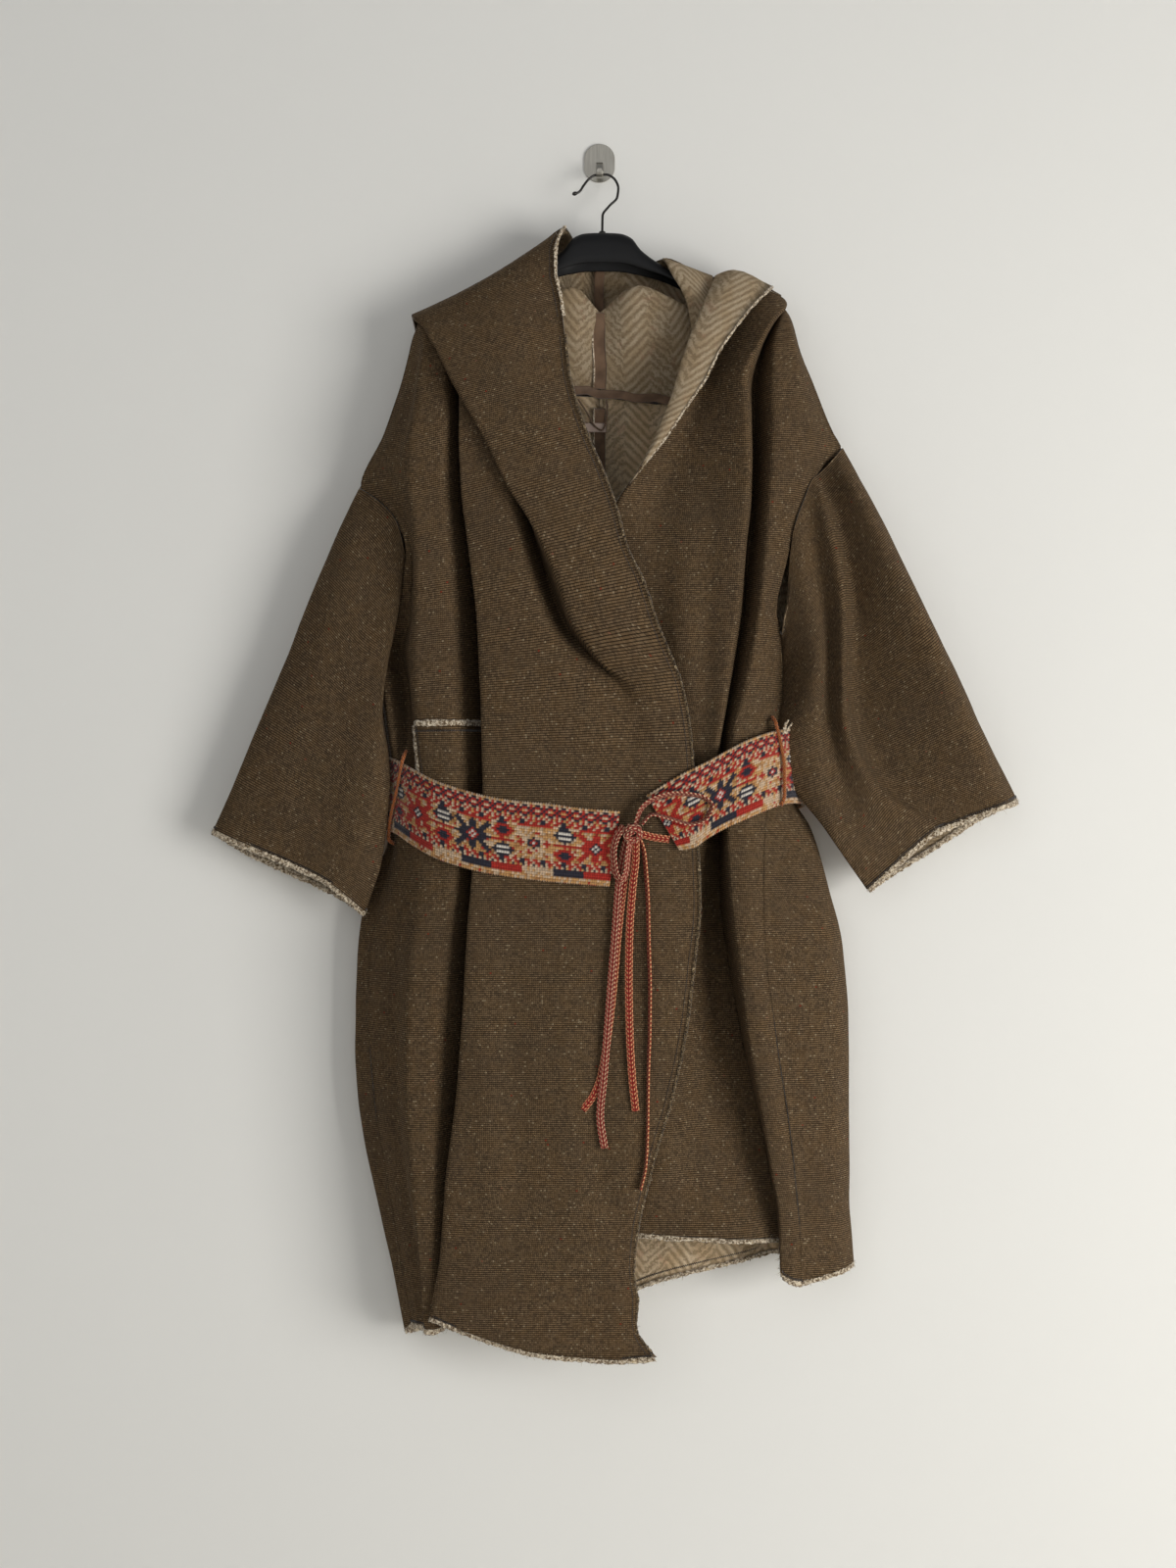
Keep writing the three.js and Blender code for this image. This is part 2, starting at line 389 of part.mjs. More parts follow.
// A smooth line through points, with some steps between each pair; a loop comes back to its start.
function throughPoints(points, steps, loop = false) {
  const wrap = 3; // points repeated at each end of a loop, so that it closes smoothly
  const n = points.length;
  const list = loop
    ? Array.from({ length: n + 2 * wrap + 1 }, (_, i) => points[(i - wrap + 2 * n) % n])
    : points;
  const at = [0];
  list.slice(1).forEach((p, i) => at.push(at[i] + Math.max(p.distanceTo(list[i]), 0.01)));
  const curves = ["x", "y", "z"].map((axis) => smoothCurve(at, list.map((p) => p[axis])));
  const [first, last] = loop ? [wrap, wrap + n] : [0, n - 1];
  const line = [];
  for (let i = first; i < last; i++)
    for (let k = 0; k < steps; k++) {
      const where = at[i] + ((at[i + 1] - at[i]) * k) / steps;
      line.push(new THREE.Vector3(...curves.map((curve) => curve(where))));
    }
  if (!loop) line.push(list[last].clone());
  return line;
}

// Points down one fold, at the sections' heights.
function alongFold(rows, levels) {
  const down = rows.map(([z]) => -z);
  const across = smoothCurve(down, rows.map((row) => row[1]));
  const depth = smoothCurve(down, rows.map((row) => row[2]));
  const [top, hem] = [rows[0][0], rows[rows.length - 1][0]];
  const heights = [
    ...TOP_STEPS.map((t) => top + (YOKE - top) * t),
    ...levels,
    ...HEM_STEPS.map((t) => HEM_BAND + (hem - HEM_BAND) * t),
  ];
  return heights.map((z) => new THREE.Vector3(across(-z), depth(-z), z));
}

// Sections of a body panel: one smooth line across the folds at each height. The panel stops
// short of the seams named in insets.
function bodyGrid(folds, levels, steps, insets = {}) {
  const names = Object.keys(folds);
  const lines = names.map((name) => alongFold(folds[name], levels));
  return lines[0].map((_, row) => {
    const points = lines.map((line) => line[row].clone());
    const last = points.length - 1;
    if (insets[names[0]]) pullIn(points[0], points[1], insets[names[0]]);
    if (insets[names[last]]) pullIn(points[last], points[last - 1], insets[names[last]]);
    return throughPoints(points, steps);
  });
}
function pullIn(point, neighbour, distance) {
  point.add(neighbour.clone().sub(point).setLength(distance));
}

// Sections of a piece whose table gives [x, y, z] rows down each column.
function columnGrid(columns, rowSteps, steps, loop = false) {
  const lines = Object.values(columns).map((rows) =>
    throughPoints(rows.map((row) => new THREE.Vector3(...row)), rowSteps),
  );
  return lines[0].map((_, row) => throughPoints(lines.map((line) => line[row]), steps, loop));
}

function normalsOf(grid, loop) {
  const [rows, cols] = [grid.length, grid[0].length];
  const near = (i, count, wraps) => (wraps ? (i + count) % count : THREE.MathUtils.clamp(i, 0, count - 1));
  return grid.map((line, r) =>
    line.map((_, c) => {
      const down = grid[near(r + 1, rows)][c].clone().sub(grid[near(r - 1, rows)][c]);
      const across = line[near(c + 1, cols, loop)].clone().sub(line[near(c - 1, cols, loop)]);
      return across.cross(down).normalize();
    }),
  );
}

// A closed shell of even thickness on a grid of points; lift moves it out along its normals.
function shell(grid, thick, { loop = false, lift = 0 } = {}) {
  const [rows, cols] = [grid.length, grid[0].length];
  const normals = normalsOf(grid, loop);
  const face = (side) =>
    grid.flatMap((line, r) => line.map((p, c) => p.clone().addScaledVector(normals[r][c], lift + (side * thick) / 2)));
  const points = [...face(1), ...face(-1)];
  const index = [];
  const quad = (a, b, c, d) => index.push(a, b, c, a, c, d);
  const under = rows * cols;
  const lastCol = loop ? cols : cols - 1;
  const at = (r, c) => r * cols + (c % cols);
  for (let r = 0; r < rows - 1; r++)
    for (let c = 0; c < lastCol; c++) {
      quad(at(r, c), at(r, c + 1), at(r + 1, c + 1), at(r + 1, c));
      quad(under + at(r, c), under + at(r + 1, c), under + at(r + 1, c + 1), under + at(r, c + 1));
    }
  for (let c = 0; c < lastCol; c++) {
    quad(at(0, c), under + at(0, c), under + at(0, c + 1), at(0, c + 1));
    quad(at(rows - 1, c), at(rows - 1, c + 1), under + at(rows - 1, c + 1), under + at(rows - 1, c));
  }
  if (!loop)
    for (let r = 0; r < rows - 1; r++) {
      quad(at(r, 0), at(r + 1, 0), under + at(r + 1, 0), under + at(r, 0));
      quad(at(r, cols - 1), under + at(r, cols - 1), under + at(r + 1, cols - 1), at(r + 1, cols - 1));
    }
  return facingOut(points, index);
}

// A closed mesh, turned inside out if its faces point inwards.
function facingOut(points, index) {
  let volume = 0;
  for (let i = 0; i < index.length; i += 3) {
    const [a, b, c] = [points[index[i]], points[index[i + 1]], points[index[i + 2]]];
    volume += a.dot(b.clone().cross(c));
  }
  if (volume < 0) index.reverse();
  const geometry = new THREE.BufferGeometry();
  geometry.setAttribute("position", new THREE.Float32BufferAttribute(points.flatMap((p) => p.toArray()), 3));
  geometry.setIndex(index);
  return geometry;
}

// A solid bar through a list of rings with the same number of points, closed at both ends.
function capped(rings) {
  const sides = rings[0].length;
  const index = [];
  for (let s = 0; s < rings.length - 1; s++)
    for (let k = 0; k < sides; k++) {
      const [a, b] = [s * sides + k, s * sides + ((k + 1) % sides)];
      index.push(a, b, b + sides, a, b + sides, a + sides);
    }
  const end = (rings.length - 1) * sides;
  for (let k = 1; k < sides - 1; k++) index.push(0, k + 1, k, end, end + k, end + k + 1);
  return facingOut(rings.flat(), index);
}

const coat = new THREE.Group();
function add(name, geometry, color, roughness = 0.95, metalness = 0) {
  const mesh = new THREE.Mesh(geometry, new THREE.MeshStandardMaterial({ color, roughness, metalness }));
  mesh.name = name;
  coat.add(mesh);
}

// ---------------------------------------------------------------- coat body
const frontRight = bodyGrid(FRONT_RIGHT, BODY_LEVELS, FOLD_STEPS, { side: SEAM_INSET });
const frontLeft = bodyGrid(FRONT_LEFT, BODY_LEVELS, FOLD_STEPS, { side: SEAM_INSET });
const backRight = bodyGrid(BACK_RIGHT, BACK_LEVELS, FOLD_STEPS, { side: SEAM_INSET + 0.8 });
const backLeft = bodyGrid(BACK_LEFT, BACK_LEVELS, FOLD_STEPS, { side: SEAM_INSET + 1 });
add("front_right", shell(frontRight, CLOTH), COAT_COLOUR);
add("front_left", shell(frontLeft, CLOTH), COAT_COLOUR);
add("back_right", shell(backRight, CLOTH), COAT_COLOUR);
add("back_left", shell(backLeft, CLOTH), COAT_COLOUR);
add("sleeve_right", shell(columnGrid(SLEEVE_RIGHT, 2, 2, true), CLOTH, { loop: true }), COAT_COLOUR);
add("sleeve_left", shell(columnGrid(SLEEVE_LEFT, 2, 2, true), CLOTH, { loop: true }), COAT_COLOUR);

// The patch pocket is cut from the front's own surface between two folds, and lies on it.
const POCKET = { from: "slot", to: "valleyOne", top: -686, bottom: -806, thick: 2 };
function pocketGrid() {
  const names = Object.keys(FRONT_RIGHT);
  const [from, to] = [POCKET.from, POCKET.to].map((name) => names.indexOf(name) * FOLD_STEPS);
  const panel = frontRight.map((line) => line.slice(from, to));
  const rows = panel.filter(([p]) => p.z <= POCKET.top + 1 && p.z > POCKET.bottom);
  const [above, below] = [panel.findLast(([p]) => p.z > POCKET.bottom), panel.find(([p]) => p.z <= POCKET.bottom)];
  const part = (above[0].z - POCKET.bottom) / (above[0].z - below[0].z);
  return [...rows, above.map((p, i) => p.clone().lerp(below[i], part))];
}
const onTop = (thick) => CLOTH / 2 + SEAM_GAP + thick / 2;
add("pocket", shell(pocketGrid(), POCKET.thick, { lift: -onTop(POCKET.thick) }), COAT_COLOUR);

// ---------------------------------------------------------------- hood
const hoodRightInner = columnGrid(HOOD_RIGHT_INNER, 1, 3);
const hoodLeftInner = columnGrid(HOOD_LEFT_INNER, 1, 3);
add("hood_right_inner", shell(hoodRightInner, CLOTH), LINING_COLOUR);
add("hood_left_inner", shell(hoodLeftInner, CLOTH), LINING_COLOUR);
add("hood_right_outer", shell(columnGrid(HOOD_RIGHT_OUTER, 2, 2), CLOTH), COAT_COLOUR);
add("hood_left_outer", shell(columnGrid(HOOD_LEFT_OUTER, 2, 2), CLOTH), COAT_COLOUR);
add("hood_left_flap", shell(columnGrid(HOOD_FLAP, 1, 2), CLOTH), LINING_COLOUR);

// ---------------------------------------------------------------- tapes, label, hanging loop
// A tape over a centre seam follows both panels, half its width onto each.
function seamTape(right, left, rows, share) {
  return rows.map((r) => [
    right[r][0].clone().lerp(right[r][1], share),
    right[r][0].clone(),
    left[r][0].clone(),
    left[r][0].clone().lerp(left[r][1], share),
  ]);
}
const TAPE_COLOUR = 0x4f3a2b;
const hoodTape = seamTape(hoodRightInner, hoodLeftInner, [0, 1, 2, 3], 0.5);
hoodTape[0] = hoodTape[0].map((p, i) => p.clone().lerp(hoodTape[1][i], 0.3));
add("tape_hood", shell(hoodTape, TAPE_THICK, { lift: onTop(TAPE_THICK) + HOOD_TAPE_EASE }), TAPE_COLOUR);

const outwards = (grid) => grid.map((line) => [...line].reverse());
const backRows = Array.from({ length: 9 }, (_, i) => i + 2);
const backTape = seamTape(outwards(backRight), backLeft, backRows, 0.25);
add("tape_back", shell(backTape, TAPE_THICK, { lift: -onTop(TAPE_THICK) }), TAPE_COLOUR);

const neckLine = throughPoints(NECK_TAPE_LINE.map(([x, z]) => new THREE.Vector3(x, NECK_TAPE_DEPTH, z)), 2);
const neckTape = [NECK_TAPE_HALF, -NECK_TAPE_HALF].map((up) => neckLine.map((p) => p.clone().setZ(p.z + up)));
add("tape_neck", shell(neckTape, TAPE_THICK), TAPE_COLOUR);

const labelCorners = LABEL.z.map((z) => LABEL.x.map((x) => new THREE.Vector3(x, LABEL.y, z)));
add("label", shell(labelCorners, LABEL.thick), 0xa89078);

// ---------------------------------------------------------------- belt
function beltGrid(rows) {
  return rows.map(([x, y, top, bottom, lean]) => [
    new THREE.Vector3(x, y, top),
    new THREE.Vector3(x + lean, y, bottom),
  ]);
}
add("belt", shell(beltGrid(BELT), BELT_THICK), 0xb0563c);

// ---------------------------------------------------------------- hanger and wall hook
const HUB_X = 3;
// Half of the hanger's bar: each row is [distance from the hub, top z, front lower edge z].
const HANGER_BAR = [
  [0, -97, -134], [20, -98, -134.5], [34, -103, -137], [46, -118, -141], [70, -136, -149],
  [100, -154, -163], [153, -181, -195], [196, -204, -220], [209, -212, -222],
];
const HANGER_FRONT = -64;
const HANGER_BACK = -35;
const HANGER_ROUND = 5; // how far its top edges are rounded off
const UNDERSIDE_DROP = 5; // the bar's back reaches lower than its front

function hangerBar() {
  const tail = HANGER_BAR.slice(1).reverse();
  const stations = [...tail.map(([d, top, low]) => [-d, top, low]), ...HANGER_BAR];
  const grid = stations.map(([d, top, low]) =>
    [
      [HANGER_FRONT, low], [HANGER_FRONT, top - HANGER_ROUND], [HANGER_FRONT + HANGER_ROUND, top],
      [HANGER_BACK - HANGER_ROUND, top], [HANGER_BACK, top - HANGER_ROUND], [HANGER_BACK, low - UNDERSIDE_DROP],
    ].map(([y, z]) => new THREE.Vector3(HUB_X + d, y, z)),
  );
  return capped(grid);
}
add("hanger_bar", hangerBar(), 0x262626, 0.55);

function roundSection(radius, sides = 8) {
  return new THREE.Shape(
    Array.from({ length: sides }, (_, i) => {
      const angle = (2 * Math.PI * (i + 0.5)) / sides;
      return new THREE.Vector2(radius * Math.cos(angle), radius * Math.sin(angle));
    }),
  );
}
function tube(points, section, steps) {
  const path = new THREE.CatmullRomCurve3(points.map((p) => new THREE.Vector3(...p)), false, "centripetal");
  return new THREE.ExtrudeGeometry(section, { steps, extrudePath: path, bevelEnabled: false });
}

// The hook's wire leans from the wall hook out to the hanger's bar.
const WIRE_RADIUS = 1.5;
const WIRE_LEAN = { topZ: -19, topY: -24, footZ: -96.2, footY: -50 };
const wireDepth = (z) =>
  WIRE_LEAN.topY + ((WIRE_LEAN.footY - WIRE_LEAN.topY) * (z - WIRE_LEAN.topZ)) / (WIRE_LEAN.footZ - WIRE_LEAN.topZ);
const WIRE_ROUTE = [
  [3, -96.2], [3.5, -74], [11, -62], [21, -50], [22.5, -38], [18, -26], [8, -20], [-4, -20.5],
  [-13, -26], [-19, -34], [-25, -43], [-33, -46],
];
add("hanger_hook", tube(WIRE_ROUTE.map(([x, z]) => [x, wireDepth(z), z]), roundSection(WIRE_RADIUS), 24), 0x303030, 0.35, 0.8);

// ---------------------------------------------------------------- belt loops and tie
for (const [name, route] of Object.entries(BELT_LOOPS))
  add(name, tube(route, roundSection(THREAD_RADIUS), 14), 0x9a5a34);
add("hanging_loop", tube(HANG_LOOP, roundSection(1.2), 12), 0x6b5040);

// A flat braid lies with its width in the plane of the front, so it is a ribbon with a true section.
function braid(route) {
  const line = throughPoints(route.map((p) => new THREE.Vector3(...p)), 2);
  const ring = line.map((p, i) => {
    const along = line[Math.min(i + 1, line.length - 1)].clone().sub(line[Math.max(i - 1, 0)]).normalize();
    const out = new THREE.Vector3(0, -1, 0);
    const side = along.clone().cross(out).normalize();
    const up = side.clone().cross(along).normalize();
    return [[-0.5, 0], [-0.36, 0.5], [0, 0.5], [0.36, 0.5], [0.5, 0], [0.36, -0.5], [0, -0.5], [-0.36, -0.5]].map(
      ([s, t]) => p.clone().addScaledVector(side, s * BRAID.width).addScaledVector(up, t * BRAID.thick),
    );
  });
  return capped(ring);
}
const BRAID_COLOUR = 0xb0563f;
for (const [name, route] of Object.entries(BRAIDS)) add(name, braid(route), BRAID_COLOUR);
const knot = new THREE.SphereGeometry(0.5, 12, 8);
knot.scale(KNOT.width, KNOT.depth, KNOT.height).translate(...KNOT.centre);
add("tie_knot", knot, BRAID_COLOUR);

// A stadium-shaped steel plate with a tongue bent out of it into a cradle for the wire.
const PLATE = { width: 37, height: 47, thick: 1.6 };
const TONGUE = { width: 8, thick: 1.5 };
function wallHook() {
  const r = PLATE.width / 2;
  const straight = PLATE.height / 2 - r;
  const outline = new THREE.Shape();
  outline.absarc(0, straight, r, 0, Math.PI, false);
  outline.absarc(0, -straight, r, Math.PI, 2 * Math.PI, false);
  const plate = new THREE.ExtrudeGeometry(outline, { depth: PLATE.thick, bevelEnabled: false, curveSegments: 12 });
  plate.rotateX(Math.PI / 2); // the outline now stands in XZ and the plate grows towards -Y
  return plate;
}
// The tongue's side outline, [y, z] along its middle.
const TONGUE_LINE = [[-2.5, 0], [-9, -4], [-13, -14], [-17, -20.8], [-24, -23.5], [-30, -20.8], [-32, -14]];
function tongue() {
  const line = throughPoints(TONGUE_LINE.map(([y, z]) => new THREE.Vector3(0, y, z)), 3);
  const half = TONGUE.width / 2;
  return shell(line.map((p) => [-half, half].map((x) => new THREE.Vector3(x, p.y, p.z))), TONGUE.thick);
}
add("wall_plate", wallHook(), 0x99968b, 0.35, 1);
add("wall_tongue", tongue(), 0x99968b, 0.35, 1);

export default coat;
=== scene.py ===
"""The looks of a hooded coat on a wall: double-faced cloth, a patterned belt, its hanger and hook.

Tables are in millimetres, in the part's frame: +X to the right of someone facing the coat, +Y into
the wall, +Z up, origin behind the hook plate. "right" and "left" in names are the wearer's.
"""

import math
import random

import bmesh
import bpy
import numpy as np
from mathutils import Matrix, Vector, noise


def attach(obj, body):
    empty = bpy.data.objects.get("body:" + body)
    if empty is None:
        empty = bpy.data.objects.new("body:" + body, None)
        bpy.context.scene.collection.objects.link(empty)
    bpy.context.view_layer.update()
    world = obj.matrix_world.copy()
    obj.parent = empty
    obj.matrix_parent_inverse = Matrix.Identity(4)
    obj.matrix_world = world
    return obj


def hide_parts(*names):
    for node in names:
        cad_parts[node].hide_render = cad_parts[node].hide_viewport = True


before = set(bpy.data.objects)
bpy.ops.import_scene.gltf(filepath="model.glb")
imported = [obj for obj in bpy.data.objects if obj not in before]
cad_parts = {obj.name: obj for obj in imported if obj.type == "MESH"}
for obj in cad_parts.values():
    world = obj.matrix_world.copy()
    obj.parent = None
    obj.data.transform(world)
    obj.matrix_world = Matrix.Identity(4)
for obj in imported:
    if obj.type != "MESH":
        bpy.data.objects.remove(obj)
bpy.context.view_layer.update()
MM = 0.001  # the frame is in metres
random.seed(7)
RNG = np.random.default_rng(7)

# ------------------------------------------------------------------ driving sizes
CLOTH = 2.6  # bonded double-faced cloth
YOKE = -300  # above this height the sections follow each fold's own top
HEM_BAND = -1240  # below this height they follow each fold's own hem
# Where the sections between a fold's top and YOKE lie, and those between HEM_BAND and its hem, as shares.
TOP_STEPS = [0, 0.015, 0.03, 0.06, 0.09, 0.14, 0.2, 0.3, 0.42, 0.54, 0.65, 0.77, 0.88]
BODY_LEVELS = list(np.linspace(YOKE, HEM_BAND, 130))
HEM_STEPS = [0.08, 0.17, 0.26, 0.35, 0.44, 0.53, 0.62, 0.7, 0.78, 0.85, 0.91, 0.96, 1]
ACROSS = 5.5  # length of a step across a panel

# ------------------------------------------------------------------ tables of the coat's body
# A fold is a line down a panel: a seam, an edge, a crest or a valley. Each row of a fold is
# [height z, across x, depth y], from its top to its hem. A panel's folds are listed from one side
# of it to the other.
RIGHT_ARMHOLE = [
  [-401, -285, -47], [-416, -259, -66], [-444, -237, -78], [-479, -226, -84], [-513, -234, -82],
  [-548, -247, -72], [-585, -265, -54],
]
RIGHT_SIDE_SEAM = [
  [-640, -262, -50], [-697, -254, -50], [-755, -247, -50], [-824, -245, -52], [-870, -256, -52],
  [-962, -273, -54], [-1031, -275, -54], [-1123, -269, -54], [-1215, -255, -52], [-1318, -238, -50],
  [-1399, -224, -48],
]
RIGHT_SHOULDER = [[-214, -219, -50], [-222, -222, -51], [-272, -235, -50], [-339, -258, -48]]

FRONT_RIGHT = {
  "side": [*RIGHT_SHOULDER, *RIGHT_ARMHOLE, *RIGHT_SIDE_SEAM],
  "sideRoll": [
    [-206, -216, -51], [-214, -216, -62], [-300, -234, -64], [-400, -264, -66], [-444, -233, -83],
    [-500, -226, -86], [-560, -240, -78], [-600, -255, -76], [-640, -253, -87], [-690, -246, -88],
    [-755, -239, -76], [-830, -238, -76], [-962, -258, -72], [-1123, -256, -70], [-1215, -243, -68],
    [-1318, -226, -64], [-1397, -216, -62],
  ],
  "slot": [
    [-206, -212, -51], [-214, -212, -70], [-300, -222, -78], [-400, -246, -84], [-444, -228, -88],
    [-500, -220, -84], [-560, -226, -76], [-600, -238, -56], [-620, -234, -52], [-650, -228, -52],
    [-690, -226, -64], [-755, -228, -84], [-830, -228, -88], [-962, -240, -84], [-1123, -240, -82],
    [-1215, -228, -80], [-1318, -212, -76], [-1397, -206, -72],
  ],
  "crestOne": [
    [-202, -205, -51], [-211, -205, -74], [-300, -214, -97], [-341, -218, -106], [-410, -217, -113],
    [-479, -214, -116], [-548, -214, -118], [-640, -215, -118], [-700, -209, -113], [-755, -203, -112],
    [-830, -201, -112], [-890, -206, -113], [-962, -217, -115], [-1100, -224, -111],
    [-1260, -215, -105], [-1395, -205, -97],
  ],
  "faceOne": [
    [-197, -193, -51], [-206, -192, -75], [-300, -185, -100], [-341, -187, -107], [-410, -188, -113],
    [-479, -184, -117], [-548, -181, -119], [-640, -178, -121], [-755, -172, -122], [-830, -170, -121],
    [-962, -187, -117], [-1100, -200, -113], [-1260, -199, -107], [-1395, -196, -99],
  ],
  "valleyOne": [
    [-188, -178, -51], [-197, -177, -64], [-300, -166, -60], [-360, -162, -56], [-410, -158, -54],
    [-490, -149, -54], [-582, -141, -54], [-652, -137, -56], [-732, -134, -60], [-847, -144, -66],
    [-962, -154, -70], [-1100, -162, -68], [-1215, -170, -68], [-1307, -176, -70], [-1391, -180, -74],
  ],
  "crestTwoEdge": [
    [-182, -166, -51], [-192, -166, -78], [-300, -162, -108], [-360, -164, -114], [-410, -161, -120],
    [-490, -151, -126], [-571, -142, -130], [-651, -138, -132], [-755, -135, -134], [-847, -147, -132],
    [-962, -155, -130], [-1100, -164, -126], [-1215, -178, -120], [-1307, -186, -114],
    [-1378, -198, -106],
  ],
  "crestTwo": [
    [-174, -150, -51], [-186, -148, -80], [-300, -132, -106], [-341, -124, -114], [-410, -110, -124],
    [-479, -98, -133], [-548, -76, -138], [-606, -52, -142], [-646, -24, -144], [-686, -6, -143],
    [-755, -10, -142], [-847, -34, -138], [-962, -52, -138], [-1100, -60, -136], [-1215, -64, -132],
    [-1307, -66, -128], [-1419, -68, -119],
  ],
  "valleyTwo": [
    [-178, -158, -51], [-190, -150, -74], [-300, -98, -80], [-400, -84, -76], [-456, -77, -74],
    [-525, -58, -82], [-571, -39, -95], [-606, -10, -118], [-640, 20, -133], [-686, 36, -139],
    [-755, 36, -139], [-847, 26, -137], [-962, 12, -137], [-1100, 2, -135], [-1215, -8, -131],
    [-1307, -14, -127], [-1424, -14, -118],
  ],
  "lapelFold": [
    [-196, -224, -55], [-205, -220, -78], [-217, -208, -94], [-234, -199, -104], [-260, -185, -112],
    [-281, -174, -118], [-318, -153, -126], [-362, -130, -132], [-408, -107, -138], [-444, -84, -143],
    [-485, -61, -147], [-525, -44, -149], [-571, -28, -149], [-594, -12, -148], [-617, 6, -147],
    [-640, 38, -145], [-686, 62, -142], [-755, 64, -141], [-847, 58, -140], [-962, 50, -139],
    [-1100, 38, -137], [-1215, 26, -133], [-1307, 18, -128], [-1426, 16, -119],
  ],
  "lapel": [
    [-157, -143, -51], [-166, -142, -76], [-214, -130, -106], [-295, -104, -126], [-375, -68, -138],
    [-456, -34, -146], [-525, -6, -150], [-582, 20, -150], [-640, 64, -144], [-686, 84, -141],
    [-755, 88, -140], [-847, 86, -139], [-962, 80, -137], [-1100, 62, -135], [-1215, 42, -131],
    [-1307, 30, -126], [-1425, 40, -118],
  ],
  "frontEdge": [
    [-92, -43, -58], [-104, -49, -70], [-125, -54, -80], [-151, -54, -85], [-186, -47, -91],
    [-226, -42, -97], [-272, -38, -103], [-306, -30, -108], [-352, -14, -114], [-387, 1, -120],
    [-433, 17, -126], [-479, 29, -130], [-521, 49, -133], [-567, 64, -135], [-608, 81, -136],
    [-640, 93, -136], [-709, 104, -136], [-755, 107, -136], [-824, 112, -134], [-893, 114, -132],
    [-968, 107, -131], [-1042, 98, -130], [-1123, 81, -129], [-1180, 64, -128], [-1226, 53, -126],
    [-1284, 41, -124], [-1330, 38, -122], [-1351, 43, -121], [-1387, 41, -119], [-1423, 62, -117],
  ],
}

LEFT_SHOULDER = [[-197, 226, -50], [-206, 229, -51], [-237, 237, -51], [-278, 254, -50], [-335, 278, -48]]
LEFT_ARMHOLE = [
  [-355, 288, -47], [-372, 266, -62], [-388, 253, -72], [-410, 241, -80], [-433, 232, -86],
  [-462, 224, -90], [-490, 217, -92], [-513, 211, -92], [-536, 206, -90], [-552, 205, -86],
  [-573, 212, -70],
]
LEFT_SIDE_SEAM = [
  [-640, 216, -62], [-697, 216, -66], [-755, 207, -84], [-789, 196, -100], [-847, 192, -108],
  [-916, 192, -110], [-973, 196, -110], [-1019, 202, -108], [-1077, 210, -106], [-1134, 219, -104],
  [-1180, 225, -102], [-1238, 231, -98], [-1284, 235, -96], [-1341, 237, -92],
]

